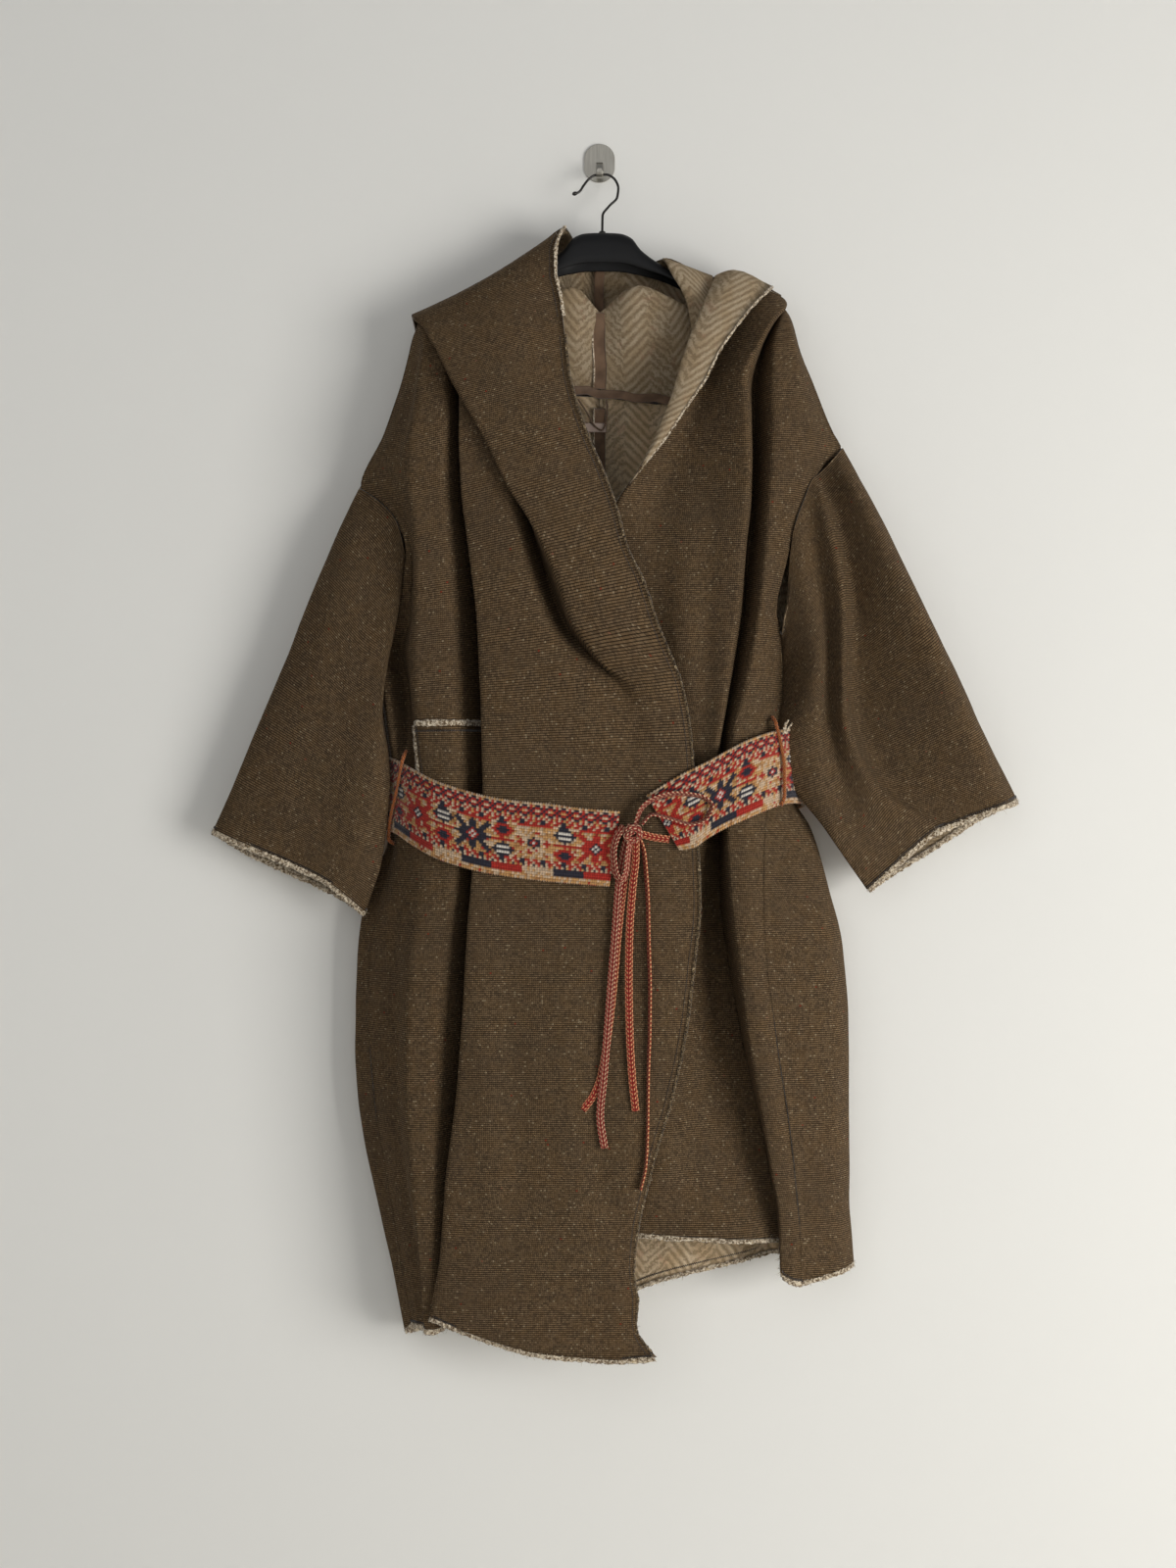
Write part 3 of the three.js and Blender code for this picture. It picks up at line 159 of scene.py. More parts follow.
FRONT_LEFT = {
  "frontEdge": [
    [-161, 205, -53], [-170, 199, -78], [-180, 190, -92], [-205, 169, -106], [-224, 155, -111],
    [-251, 137, -115], [-281, 123, -118], [-314, 100, -119], [-349, 77, -118], [-379, 54, -116],
    [-410, 30, -112], [-434, 14, -106], [-520, -34, -91], [-600, -74, -85], [-680, -98, -84],
    [-755, -108, -86], [-900, -114, -98], [-1100, -112, -100], [-1262, -106, -98],
  ],
  "strip": [
    [-142, 160, -51], [-150, 158, -84], [-180, 148, -104], [-224, 128, -116], [-281, 106, -120],
    [-330, 82, -121], [-370, 58, -119], [-410, 32, -114], [-434, 18, -108], [-520, -24, -93],
    [-600, -58, -87], [-680, -80, -86], [-755, -90, -88], [-900, -96, -100], [-1100, -94, -102],
    [-1264, -88, -99],
  ],
  "roll": [
    [-150, 138, -51], [-158, 136, -78], [-180, 127, -96], [-209, 115, -108], [-237, 104, -112],
    [-263, 95, -114], [-295, 86, -116], [-332, 72, -116], [-355, 62, -115], [-381, 49, -113],
    [-410, 36, -110], [-434, 26, -106], [-520, -6, -95], [-600, -30, -90], [-680, -44, -90],
    [-755, -50, -92], [-900, -50, -103], [-1100, -48, -105], [-1268, -44, -101],
  ],
  "underLapel": [
    [-158, 168, -54], [-166, 166, -66], [-209, 150, -76], [-263, 130, -80], [-316, 110, -82],
    [-355, 94, -84], [-400, 80, -88], [-479, 60, -98], [-600, 60, -102], [-680, 62, -102],
    [-755, 60, -106], [-900, 60, -112], [-1100, 58, -112], [-1282, 60, -106],
  ],
  "shellFold": [
    [-183, 222, -54], [-191, 219, -74], [-205, 206, -94], [-226, 194, -106], [-243, 185, -111],
    [-260, 174, -114], [-286, 167, -118], [-318, 170, -120], [-381, 172, -122], [-410, 171, -122],
    [-479, 165, -122], [-548, 159, -122], [-617, 149, -122], [-663, 143, -122], [-709, 136, -121],
    [-812, 119, -96], [-900, 116, -84], [-1000, 115, -79], [-1100, 121, -79], [-1200, 134, -87],
    [-1287, 146, -110],
  ],
  "valley": [
    [-188, 218, -52], [-198, 212, -60], [-243, 192, -56], [-295, 184, -52], [-341, 184, -52],
    [-410, 183, -54], [-479, 177, -58], [-548, 171, -62], [-617, 160, -68], [-663, 151, -76],
    [-709, 144, -74], [-812, 143, -50], [-893, 145, -47], [-962, 154, -48], [-1042, 168, -50],
    [-1100, 179, -60], [-1169, 195, -64], [-1215, 203, -68], [-1294, 214, -78],
  ],
  "crestOneEdge": [
    [-190, 221, -51], [-200, 217, -70], [-243, 206, -90], [-295, 206, -98], [-341, 206, -102],
    [-410, 201, -106], [-490, 195, -109], [-571, 185, -112], [-640, 172, -115], [-700, 157, -118],
    [-812, 150, -119], [-870, 152, -119], [-962, 163, -118], [-1054, 175, -116], [-1134, 190, -112],
    [-1203, 201, -108], [-1272, 212, -104], [-1328, 213, -99],
  ],
  "crestOne": [
    [-193, 223, -51], [-203, 221, -70], [-237, 228, -84], [-295, 232, -92], [-341, 233, -96],
    [-433, 222, -99], [-500, 204, -103], [-560, 194, -104], [-617, 190, -104], [-697, 184, -108],
    [-755, 176, -114], [-824, 168, -120], [-900, 170, -122], [-1000, 180, -120], [-1100, 196, -116],
    [-1200, 215, -110], [-1338, 226, -98],
  ],
  "side": [*LEFT_SHOULDER, *LEFT_ARMHOLE, *LEFT_SIDE_SEAM],
}


BACK_DEPTH = -30  # how far off the wall the back's armholes lie
BACK_SHARE = 0.12  # how much of the front armhole's own depth they keep


def back_armhole(armhole):
    """The back's armhole lies behind the front's, at the same heights."""
    inner = [[z, x, BACK_DEPTH + (y - BACK_DEPTH) * BACK_SHARE] for z, x, y in armhole[1:-1]]
    return [armhole[0], *inner, armhole[-1]]


BACK_RIGHT = {
  "side": [*RIGHT_SHOULDER, *back_armhole(RIGHT_ARMHOLE), *RIGHT_SIDE_SEAM],
  "turn": [
    [-208, -214, -48], [-211, -215, -35], [-218, -216, -31], [-272, -226, -30], [-339, -240, -29],
    [-401, -246, -28], [-444, -226, -28], [-479, -216, -27], [-548, -228, -27], [-585, -248, -30],
    [-640, -258, -34], [-755, -250, -34], [-826, -254, -38], [-861, -270, -38], [-931, -287, -38],
    [-1049, -293, -38], [-1131, -288, -38], [-1202, -277, -38], [-1272, -262, -38], [-1337, -247, -37],
    [-1410, -233, -36],
  ],
  "outer": [
    [-189, -180, -48], [-192, -180, -35], [-199, -180, -30], [-260, -176, -28], [-339, -174, -26],
    [-479, -174, -23], [-640, -190, -20], [-826, -196, -18], [-1049, -222, -18], [-1202, -216, -19],
    [-1408, -188, -20],
  ],
  "neckSide": [
    [-173, -151, -48], [-176, -151, -36], [-183, -151, -30], [-260, -148, -28], [-339, -134, -25],
    [-479, -128, -22], [-640, -140, -21], [-826, -146, -20], [-1049, -164, -22], [-1202, -160, -23],
    [-1404, -142, -23],
  ],
  "inner": [
    [-176, -139, -30], [-200, -134, -29.5], [-260, -116, -29], [-339, -100, -25], [-479, -90, -22],
    [-640, -96, -22], [-826, -98, -21], [-1049, -112, -24], [-1202, -112, -26], [-1400, -100, -26],
  ],
  "neck": [
    [-287, -70, -45], [-296, -68, -40], [-339, -62, -30], [-479, -52, -22], [-640, -52, -20],
    [-826, -50, -19], [-1049, -56, -20], [-1202, -56, -21], [-1392, -50, -22],
  ],
  "centre": [
    [-292, -0.2, -45], [-301, -0.2, -39], [-339, -0.2, -29], [-479, -0.2, -22], [-640, -0.2, -19],
    [-826, -0.2, -18], [-1049, -0.2, -18], [-1202, -0.2, -20], [-1384, -0.2, -22],
  ],
}

BACK_LEFT = {
  "centre": [[z, -x, y] for z, x, y in BACK_RIGHT["centre"]],
  "neck": [
    [-301, 88, -45], [-309, 84, -40], [-339, 62, -30], [-479, 54, -22], [-640, 54, -20],
    [-826, 52, -19], [-1049, 58, -21], [-1202, 60, -26], [-1352, 60, -40],
  ],
  "inner": [
    [-181, 146, -30], [-205, 140, -29.5], [-260, 124, -29], [-339, 104, -25], [-479, 94, -22],
    [-640, 96, -22], [-826, 100, -21], [-1049, 116, -26], [-1202, 124, -34], [-1332, 128, -48],
  ],
  "neckSide": [
    [-176, 159, -48], [-179, 159, -36], [-186, 159, -30], [-260, 154, -28], [-339, 142, -25],
    [-479, 132, -22], [-640, 134, -21], [-826, 146, -20], [-1049, 164, -24], [-1202, 170, -31],
    [-1322, 172, -46],
  ],
  "outer": [
    [-192, 192, -48], [-195, 192, -35], [-202, 192, -30], [-260, 190, -28], [-339, 190, -26],
    [-479, 172, -23], [-640, 174, -20], [-826, 190, -18], [-1049, 210, -20], [-1202, 214, -28],
    [-1312, 212, -44],
  ],
  "turn": [
    [-200, 221, -46], [-203, 222, -35], [-210, 224, -31], [-260, 236, -31], [-335, 258, -30],
    [-372, 252, -28], [-433, 222, -28], [-490, 206, -27], [-548, 196, -27], [-573, 202, -30],
    [-640, 214, -32], [-755, 222, -36], [-810, 252, -40], [-880, 273, -42], [-950, 290, -44],
    [-1049, 296, -46], [-1150, 297, -48], [-1250, 298, -50], [-1325, 302, -52],
  ],
  "wrap": [
    [-199, 224, -48], [-206, 227, -42], [-260, 243, -40], [-335, 268, -39], [-372, 260, -36],
    [-433, 227, -34], [-490, 211, -33], [-548, 200, -34], [-573, 208, -44], [-640, 218, -46],
    [-755, 222, -56], [-810, 240, -70], [-880, 256, -80], [-950, 270, -84], [-1049, 276, -84],
    [-1150, 280, -82], [-1250, 282, -80], [-1330, 284, -78],
  ],
  "side": [*LEFT_SHOULDER, *back_armhole(LEFT_ARMHOLE), *LEFT_SIDE_SEAM],
}

# ------------------------------------------------------------------ tables of sleeves, hood, belt and ties
# A sleeve's columns run round it, and each row is [x, y, z] down a column from armhole to cuff.
SLEEVE_RIGHT = {
  "top": [
    [-287, -47, -402], [-310, -49, -451], [-343, -50, -530], [-392, -50, -650], [-435, -49, -752],
    [-462, -47, -809],
  ],
  "frontUpper": [
    [-262, -66, -420], [-292, -76, -468], [-320, -80, -552], [-356, -78, -672], [-392, -72, -774],
    [-416, -66, -828],
  ],
  "frontMiddle": [
    [-240, -79, -446], [-262, -84, -500], [-286, -90, -590], [-312, -90, -702], [-340, -84, -800],
    [-366, -72, -848],
  ],
  "frontLower": [
    [-231, -86, -484], [-236, -92, -540], [-252, -100, -622], [-266, -104, -738], [-290, -96, -830],
    [-318, -78, -872],
  ],
  "inner": [
    [-272, -56, -586], [-272, -70, -612], [-262, -86, -662], [-248, -90, -748], [-258, -84, -840],
    [-279, -66, -906],
  ],
  "backLower": [
    [-256, -34, -556], [-278, -36, -600], [-284, -58, -660], [-276, -72, -742], [-284, -62, -830],
    [-304, -48, -890],
  ],
  "backMiddle": [
    [-232, -29, -470], [-268, -24, -520], [-298, -26, -600], [-328, -34, -706], [-352, -32, -800],
    [-372, -30, -858],
  ],
  "backUpper": [
    [-258, -30, -414], [-296, -24, -466], [-330, -22, -552], [-374, -22, -666], [-408, -24, -768],
    [-432, -26, -830],
  ],
}
SLEEVE_LEFT = {
  "top": [
    [290, -47, -354], [314, -49, -399], [358, -50, -487], [411, -50, -594], [462, -49, -704],
    [497, -47, -773],
  ],
  "frontUpper": [
    [275, -66, -372], [302, -97, -413], [343, -109, -500], [395, -114, -607], [442, -105, -713],
    [475, -82, -780],
  ],
  "shade": [
    [261, -66, -386], [281, -74, -436], [303, -70, -551], [305, -63, -655], [344, -62, -755],
    [414, -60, -804],
  ],
  "crestB": [
    [252, -75, -394], [267, -94, -442], [285, -107, -556], [285, -106, -660], [322, -94, -760],
    [398, -70, -810],
  ],
  "betweenCrests": [
    [243, -82, -414], [255, -84, -470], [270, -86, -590], [272, -84, -680], [302, -82, -792],
    [368, -70, -834],
  ],
  "crestA": [
    [228, -92, -458], [238, -98, -516], [256, -104, -604], [252, -100, -690], [276, -86, -806],
    [344, -68, -856],
  ],
  "inner": [
    [216, -80, -578], [217, -60, -594], [214, -52, -645], [208, -80, -712], [270, -80, -812],
    [318, -62, -880],
  ],
  "backLower": [
    [207, -32, -540], [236, -42, -590], [256, -62, -650], [262, -72, -726], [292, -54, -812],
    [336, -46, -868],
  ],
  "backMiddle": [
    [232, -29, -440], [262, -24, -490], [290, -24, -590], [322, -26, -690], [358, -28, -786],
    [402, -30, -828],
  ],
  "backUpper": [
    [262, -30, -370], [300, -24, -412], [340, -22, -508], [390, -22, -620], [432, -24, -724],
    [462, -26, -790],
  ],
}

# The hood is sewn up the middle of its back and hangs in a bag between the coat and the wall.
# Columns run outwards from the seam, and each row is [x, y, z] down a column.
HOOD_RIGHT_INNER = {
  "centre": [
    [-1.4, -45, -288], [-1.4, -50, -262], [-1.4, -54, -225], [-1.4, -50, -192], [-1.4, -36, -190],
    [-1.4, -27, -240], [-1.4, -16, -340], [-1.4, -11, -452],
  ],
  "bulge": [
    [-38, -45, -285], [-37, -58, -258], [-35, -68, -215], [-32, -62, -166], [-33, -40, -162],
    [-36, -28, -230], [-42, -16, -330], [-48, -11, -440],
  ],
  "outer": [
    [-66, -45, -282], [-68, -58, -254], [-68, -66, -215], [-66, -60, -174], [-68, -42, -168],
    [-78, -29, -230], [-92, -17, -320], [-104, -12, -412],
  ],
}
HOOD_LEFT_INNER = {
  "centre": [[-x, y, z] for x, y, z in HOOD_RIGHT_INNER["centre"]],
  "bulge": [
    [44, -45, -291], [44, -60, -262], [44, -72, -215], [46, -64, -164], [46, -40, -160],
    [44, -28, -230], [44, -16, -330], [48, -11, -440],
  ],
  "shoulder": [
    [82, -45, -292], [86, -60, -262], [92, -70, -222], [94, -64, -183], [94, -42, -180],
    [90, -29, -236], [88, -17, -325], [84, -12, -425],
  ],
  "outer": [
    [104, -48, -292], [108, -56, -262], [114, -60, -226], [116, -56, -196], [114, -42, -192],
    [108, -30, -240], [104, -18, -320], [104, -13, -412],
  ],
}
HOOD_RIGHT_OUTER = {
  "centre": [[-1.2, -22, -124], [-1.2, -12, -165], [-1.2, -5, -260], [-1.2, -4, -360], [-1.2, -7, -452]],
  "behind": [[-28, -26, -104], [-28, -19, -130], [-28, -8, -220], [-28, -5, -340], [-26, -7, -446]],
  "tip": [[-42, -55, -92], [-44, -28, -101], [-46, -9, -190], [-48, -5, -330], [-48, -7, -440]],
  "slope": [[-92, -50, -131], [-93, -26, -140], [-92, -10, -220], [-90, -6, -330], [-84, -8, -426]],
  "fall": [[-143, -50, -157], [-144, -25, -166], [-140, -11, -240], [-126, -8, -330], [-106, -9, -411]],
  "shoulder": [
    [-224, -53, -196], [-222, -26, -208], [-196, -14, -270], [-158, -11, -330], [-124, -11, -392],
  ],
}
HOOD_LEFT_OUTER = {
  "centre": [[-x, y, z] for x, y, z in HOOD_RIGHT_OUTER["centre"]],
  "middle": [[38, -20, -126], [40, -12, -165], [42, -6, -250], [44, -5, -350], [46, -7, -440]],
  "behind": [[64, -28, -127], [64, -20, -150], [64, -8, -220], [64, -6, -340], [66, -7, -433]],
  "flapTop": [[79, -50, -127], [76, -28, -137], [78, -10, -210], [82, -6, -330], [84, -8, -426]],
  "dip": [[138, -50, -150], [137, -26, -158], [130, -11, -230], [120, -7, -330], [108, -9, -411]],
  "peak": [[160, -50, -142], [159, -25, -152], [150, -12, -236], [134, -9, -326], [114, -10, -402]],
  "shoulder": [[216, -52, -172], [214, -27, -186], [190, -15, -260], [156, -12, -324], [124, -11, -390]],
}
HOOD_FLAP = {
  "under": [
    [86, -51, -131], [90, -72, -142], [98, -72, -160], [106, -74, -180], [112, -72, -204],
    [116, -68, -250], [118, -62, -284],
  ],
  "edge": [
    [76, -51, -128], [80, -76, -138], [89, -80, -156], [98, -82, -172], [105, -82, -190],
    [110, -78, -222], [114, -70, -262],
  ],
  "middle": [
    [104, -51, -137], [108, -78, -148], [114, -86, -166], [120, -88, -184], [124, -86, -204],
    [126, -80, -234], [128, -72, -268],
  ],
  "valley": [
    [134, -51, -149], [134, -72, -158], [136, -76, -176], [138, -78, -194], [138, -78, -214],
    [138, -76, -240], [138, -70, -270],
  ],
}

# Each row is [x, y and z of the belt's top edge, z of its bottom edge, and how far the bottom edge is
# shifted in x], from the end at the knot round the coat to the other end.
BELT = [
  [23, -144.6, -787, -873, -12], [-25, -144.8, -783, -870, 0], [-60, -144.4, -778, -867, 0],
  [-94, -142.6, -775, -863, 0], [-128, -140, -770, -858, 0], [-162, -135.5, -761, -850, 0],
  [-192, -127.5, -751, -840, 0], [-220, -110, -737, -825, 0], [-240, -84, -727, -813, 0],
  [-256, -58, -722, -808, 0], [-262, -36, -722, -808, 0], [-250, -19, -724, -810, 0],
  [-205, -12, -728, -815, 0], [-110, -12, -732, -819, 0], [0, -12, -732, -819, 0],
  [110, -12, -725, -812, 0], [200, -12, -710, -797, 0], [232, -19, -700, -787, 0],
  [244, -38, -694, -781, 0], [240, -60, -691, -778, 0], [228, -82, -690, -777, 0],
  [212, -100, -692, -779, 0], [192, -114, -697, -786, 0], [168, -124, -706, -796, 0],
  [145, -130, -718, -806, 0], [123, -138, -730, -818, 0], [96, -144.4, -743, -828, 12],
  [53, -145.4, -769, -831, 38],
]
# Flat braid that ties the belt. Each row of a route is [x, y, z].
BRAID = {"width": 9, "thick": 2.2}
BRAIDS = {
  "tie_strand_right": [[22, -146, -806], [24.5, -147.8, -807.2], [28.4, -150, -809.6]],
  "tie_strand_left": [[45.1, -150, -812], [60, -148.4, -816], [79.8, -146, -819]],
  "tie_loop_bow": [
    [41, -151, -803], [46, -153, -786], [60, -153.4, -773], [88, -150.6, -766], [115, -147.4, -769],
    [129, -145.4, -780], [122, -146.4, -795], [104, -149.6, -801], [78, -152, -794],
    [60, -154.8, -790], [47.4, -155, -801.6],
  ],
  "tie_loop_small": [
    [27.6, -152, -803.4], [19, -153.6, -816], [15, -153.6, -834], [17, -153, -855], [24, -152.6, -866],
    [30, -153, -856], [32, -153.6, -838], [34, -153.8, -821.6],
  ],
  "tie_tail_a": [
    [31, -149.6, -818.8], [27, -148.2, -836], [22, -146.8, -868], [17.6, -146.2, -924],
    [13, -146, -981], [8.6, -145.2, -1038], [4, -143.6, -1094], [0, -141.6, -1139], [5, -139.6, -1176],
  ],
  "tie_tail_b": [
    [36, -145.6, -818.2], [34, -143.6, -838], [28, -143, -868], [21, -142.8, -924], [16, -142.6, -981],
    [9.7, -141.8, -1038], [0.7, -140.2, -1094], [-7, -139.2, -1114], [-20, -138, -1132],
  ],
  "tie_tail_c": [
    [41, -149.8, -820.2], [41, -148.6, -838], [38, -147.4, -868], [34, -146.4, -924],
    [33, -145.8, -981], [34, -144.6, -1038], [37, -142.6, -1094], [41, -141, -1133],
  ],
  "tie_tail_d": [
    [44.6, -147, -817], [50, -145.4, -832], [53, -144.6, -860], [55, -144.2, -891], [56, -143.4, -936],
    [57.5, -142.8, -992], [57, -141.6, -1049], [55.5, -140.4, -1094], [55, -138.6, -1150],
    [53, -137.2, -1196], [47, -136.2, -1225],
  ],
}
# Routes of thread and yarn, in rows of [x, y, z].
BELT_LOOPS = {
  "belt_loop_right": [
    [-228, -86.4, -716], [-231, -106, -726], [-239.5, -95, -765], [-248, -83, -800], [-250, -74, -820],
    [-245, -63.5, -826],
  ],
  "belt_loop_left": [
    [203, -91, -676], [206, -108, -685], [212, -105.5, -709], [216, -104.6, -738], [216, -106, -768],
    [212, -103, -779], [206, -96, -776],
  ],
}
HANG_LOOP = [
  [-26, -48.5, -294.5], [-14, -44, -312], [-6, -42.6, -326], [2, -42.6, -331], [8, -43, -318],
  [9, -46, -303], [8, -49, -295.5],
]


# ------------------------------------------------------------------ curves and sheets
def smooth_curve(at, values, where):
    """A smooth curve through the values that never swings past them."""
    at, values, where = (np.asarray(a, float) for a in (at, values, where))
    steps = np.diff(at)
    rates = np.diff(values, axis=0) / steps[:, None]
    slope = np.zeros_like(values)
    slope[0], slope[-1] = rates[0], rates[-1]
    before, after = rates[:-1], rates[1:]
    w_before = (2 * steps[1:] + steps[:-1])[:, None]
    w_after = (steps[1:] + 2 * steps[:-1])[:, None]
    same = before * after > 0
    safe_before, safe_after = np.where(same, before, 1), np.where(same, after, 1)
    mean = (w_before + w_after) / (w_before / safe_before + w_after / safe_after)
    slope[1:-1] = np.where(same, mean, 0)
    i = np.clip(np.searchsorted(at, where, side="right") - 1, 0, len(at) - 2)
    h = steps[i][:, None]
    t = np.clip((where - at[i])[:, None] / h, 0, 1)
    a, b = values[i], values[i + 1]
    rise = h * (slope[i] * t * (1 - t) ** 2 - slope[i + 1] * t * t * (1 - t))
    return a + (b - a) * t * t * (3 - 2 * t) + rise


LOOP_OVERLAP = 3  # points that a closed line is carried past its start, so that it closes smoothly


def through(points, steps, loop=False):
    """A smooth line through points; steps says how many steps there are between each pair."""
    points = np.asarray(points, float)
    n = len(points)
    counts = [steps] * n if isinstance(steps, int) else list(steps)
    wrap = LOOP_OVERLAP if loop else 0
    listed = points[(np.arange(n + 2 * wrap + 1) - wrap) % n] if loop else points
    lengths = np.maximum(np.linalg.norm(np.diff(listed, axis=0), axis=1), 0.01)
    at = np.concatenate([[0], np.cumsum(lengths)])
    spans = range(n) if loop else range(n - 1)
    where = [at[i + wrap] + lengths[i + wrap] * k / counts[i] for i in spans for k in range(counts[i])]
    if not loop:
        where.append(at[-1])
    return smooth_curve(at, listed, where)


def along_fold(rows):
    """Points down one fold, at the sections' heights."""
    rows = np.asarray(rows, float)
    top, hem = rows[0, 0], rows[-1, 0]
    heights = np.concatenate([
        [top + (YOKE - top) * t for t in TOP_STEPS],
        BODY_LEVELS,
        [HEM_BAND + (hem - HEM_BAND) * t for t in HEM_STEPS],
    ])
    place = smooth_curve(-rows[:, 0], rows[:, 1:], -heights)
    return np.column_stack([place, heights])


def step_counts(lines):
    """Steps from each line of points to the next, for steps about as long as ACROSS."""
    gaps = np.linalg.norm(np.diff(lines, axis=1), axis=2).mean(axis=0)
    return [max(3, math.ceil(gap / ACROSS)) for gap in gaps]


def body_grid(folds):
    """Sections of a body panel: one smooth line across the folds at each height."""
    lines = np.stack([along_fold(rows) for rows in folds.values()], axis=1)
    counts = step_counts(lines)
    return np.stack([through(row, counts) for row in lines]), dict(zip(folds, np.cumsum([0, *counts])))


def column_grid(columns, down, across, loop=False):
    """Sections of a piece whose table gives [x, y, z] rows down each column."""
    lines = np.stack([through(rows, down) for rows in columns.values()], axis=1)
    return np.stack([through(row, across, loop) for row in lines])


def unit(v):
    """Each vector at a length of 1."""
    return v / np.maximum(np.linalg.norm(v, axis=-1, keepdims=True), 1e-9)


def normals_of(grid, loop=False):
    """The direction that a grid faces at each point: across its rows, then down them, by the right hand."""
    down = np.gradient(grid, axis=0)
    if loop:
        across = np.roll(grid, -1, axis=1) - np.roll(grid, 1, axis=1)
    else:
        across = np.gradient(grid, axis=1)
    return unit(np.cross(across, down))


def lengths_across(grid, start=0):
    """Distance along each row of a grid from one of its columns."""
    steps = np.linalg.norm(np.diff(grid, axis=1), axis=2)
    total = np.concatenate([np.zeros((len(grid), 1)), np.cumsum(steps, axis=1)], axis=1)
    return total - total[:, start:start + 1]


def lengths_down(grid):
    """Distance down each column of a grid."""
    steps = np.linalg.norm(np.diff(grid, axis=0), axis=2)
    return np.concatenate([np.zeros((1, grid.shape[1])), np.cumsum(steps, axis=0)])


def distance_along(line):
    """How far along a line each of its points is."""
    return np.concatenate([[0], np.cumsum(np.linalg.norm(np.diff(line, axis=0), axis=1))])


def resample(line, at, where):
    """Points of a line at other distances along it."""
    return np.column_stack([np.interp(where, at, line[:, k]) for k in range(3)])


def spread(count, total):
    """Indices of count points spread evenly over a line of total points."""
    return np.linspace(0, total - 1, count).round().astype(int)


FRONTWARD = np.array([0.0, -1.0, 0.0])
SEED_SHIFT = 17.3  # how far apart in the noise two seeds lie


def wavy(points, size, seed):
    """Smooth noise from -1 to 1 at each point, with bumps about as large as size, in mm."""
    flat = points.reshape(-1, 3) / size + seed * SEED_SHIFT
    values = [noise.noise(p) for p in flat]
    return np.array(values).reshape(points.shape[:-1])


# ------------------------------------------------------------------ objects
def finish_piece(obj, replaced=()):
    """Puts a piece in the scene, on the part's only body."""
    bpy.context.scene.collection.objects.link(obj)
    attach(obj, "root")
    if replaced:
        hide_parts(*replaced)
    return obj


def mesh_piece(
    name, points, faces, materials, replaced=(), which=None, uv=None, colour=None, smooth=True
):
    """A mesh from points in mm.

    uv and colour hold one row for each point, and which holds one material's number for each face."""
    mesh = bpy.data.meshes.new(name)
    mesh.from_pydata((np.asarray(points) * MM).tolist(), [], faces)
    for material in materials:
        mesh.materials.append(material)
    if which is not None:
        mesh.polygons.foreach_set("material_index", np.asarray(which, np.int32))
    mesh.polygons.foreach_set("use_smooth", np.full(len(mesh.polygons), smooth))
    corners = np.empty(len(mesh.loops), np.int32)
    mesh.loops.foreach_get("vertex_index", corners)
    if uv is not None:
        layer = mesh.uv_layers.new(name="cloth")
        layer.data.foreach_set("uv", (np.asarray(uv)[corners] * MM).astype(np.float32).ravel())
    if colour is not None:
        layer = mesh.color_attributes.new("tint", "FLOAT_COLOR", "POINT")
        layer.data.foreach_set("color", np.asarray(colour, np.float32).ravel())
    mesh.update()
    return finish_piece(bpy.data.objects.new(name, mesh), replaced)


def grid_quads(rows, cols, loop=False, start=0, flip=False):
    """Quads between the points of a grid that is stored row by row."""
    r, c = np.meshgrid(np.arange(rows - 1), np.arange(cols if loop else cols - 1), indexing="ij")
    a = start + r * cols + c
    b = start + r * cols + (c + 1) % cols
    quads = np.stack([a, b, b + cols, a + cols], axis=-1).reshape(-1, 4)
    return quads[:, ::-1] if flip else quads


PLUS, MINUS, RIM = 0, 1, 2  # a cloth's two sides and its rim, as numbers of their materials
RIM_ROUND = 0.3  # how far a rim stands out, as a share of the cloth's thickness


def cloth_piece(
    name, grid, uv, plus, minus, rim, slot, replaced=(), loop=False, thick=CLOTH, turned=(0, 0)
):
    """A shell of cloth on a grid: its plus side faces along the grid's normals. The rims are rounded.

    Between the columns in turned, the plus side is faced with the minus side's cloth."""
    rows, cols = grid.shape[:2]
    normals = normals_of(grid, loop)
    count = rows * cols
    points = [(grid + normals * thick / 2).reshape(-1, 3), (grid - normals * thick / 2).reshape(-1, 3)]
    uvs = [uv.reshape(-1, 2)] * 2
    faces = [grid_quads(rows, cols, loop), grid_quads(rows, cols, loop, count, flip=True)]
    which = [np.full(len(faces[0]), PLUS), np.full(len(faces[1]), MINUS)]
    across = np.arange(len(faces[0])) % (cols if loop else cols - 1)
    which[0][(across >= turned[0]) & (across < turned[1])] = MINUS
    index = np.arange(count).reshape(rows, cols)
    edges = [(index[0], index[1], loop, True), (index[-1], index[-2], loop, False)]
    if not loop:
        edges += [(index[:, 0], index[:, 1], False, False), (index[:, -1], index[:, -2], False, True)]
    flat, flat_uv = grid.reshape(-1, 3), uv.reshape(-1, 2)
    start = 2 * count
    for line, inner, closed, flip in edges:
        out = unit(flat[line] - flat[inner])
        points.append(flat[line] + out * thick * RIM_ROUND)
        uvs.append(flat_uv[line])
        middle = np.arange(start, start + len(line))
        start += len(line)
        for a, b in ((line, middle), (middle, line + count)):
            quads = np.stack([a, b, np.roll(b, -1), np.roll(a, -1)], axis=1)
            quads = quads if closed else quads[:-1]
            faces.append(quads[:, ::-1] if flip else quads)
            which.append(np.full(len(quads), RIM))
    return mesh_piece(
        name, np.concatenate(points), np.concatenate(faces).tolist(), [plus, minus, rim], replaced,
        np.concatenate(which), np.concatenate(uvs),
    )


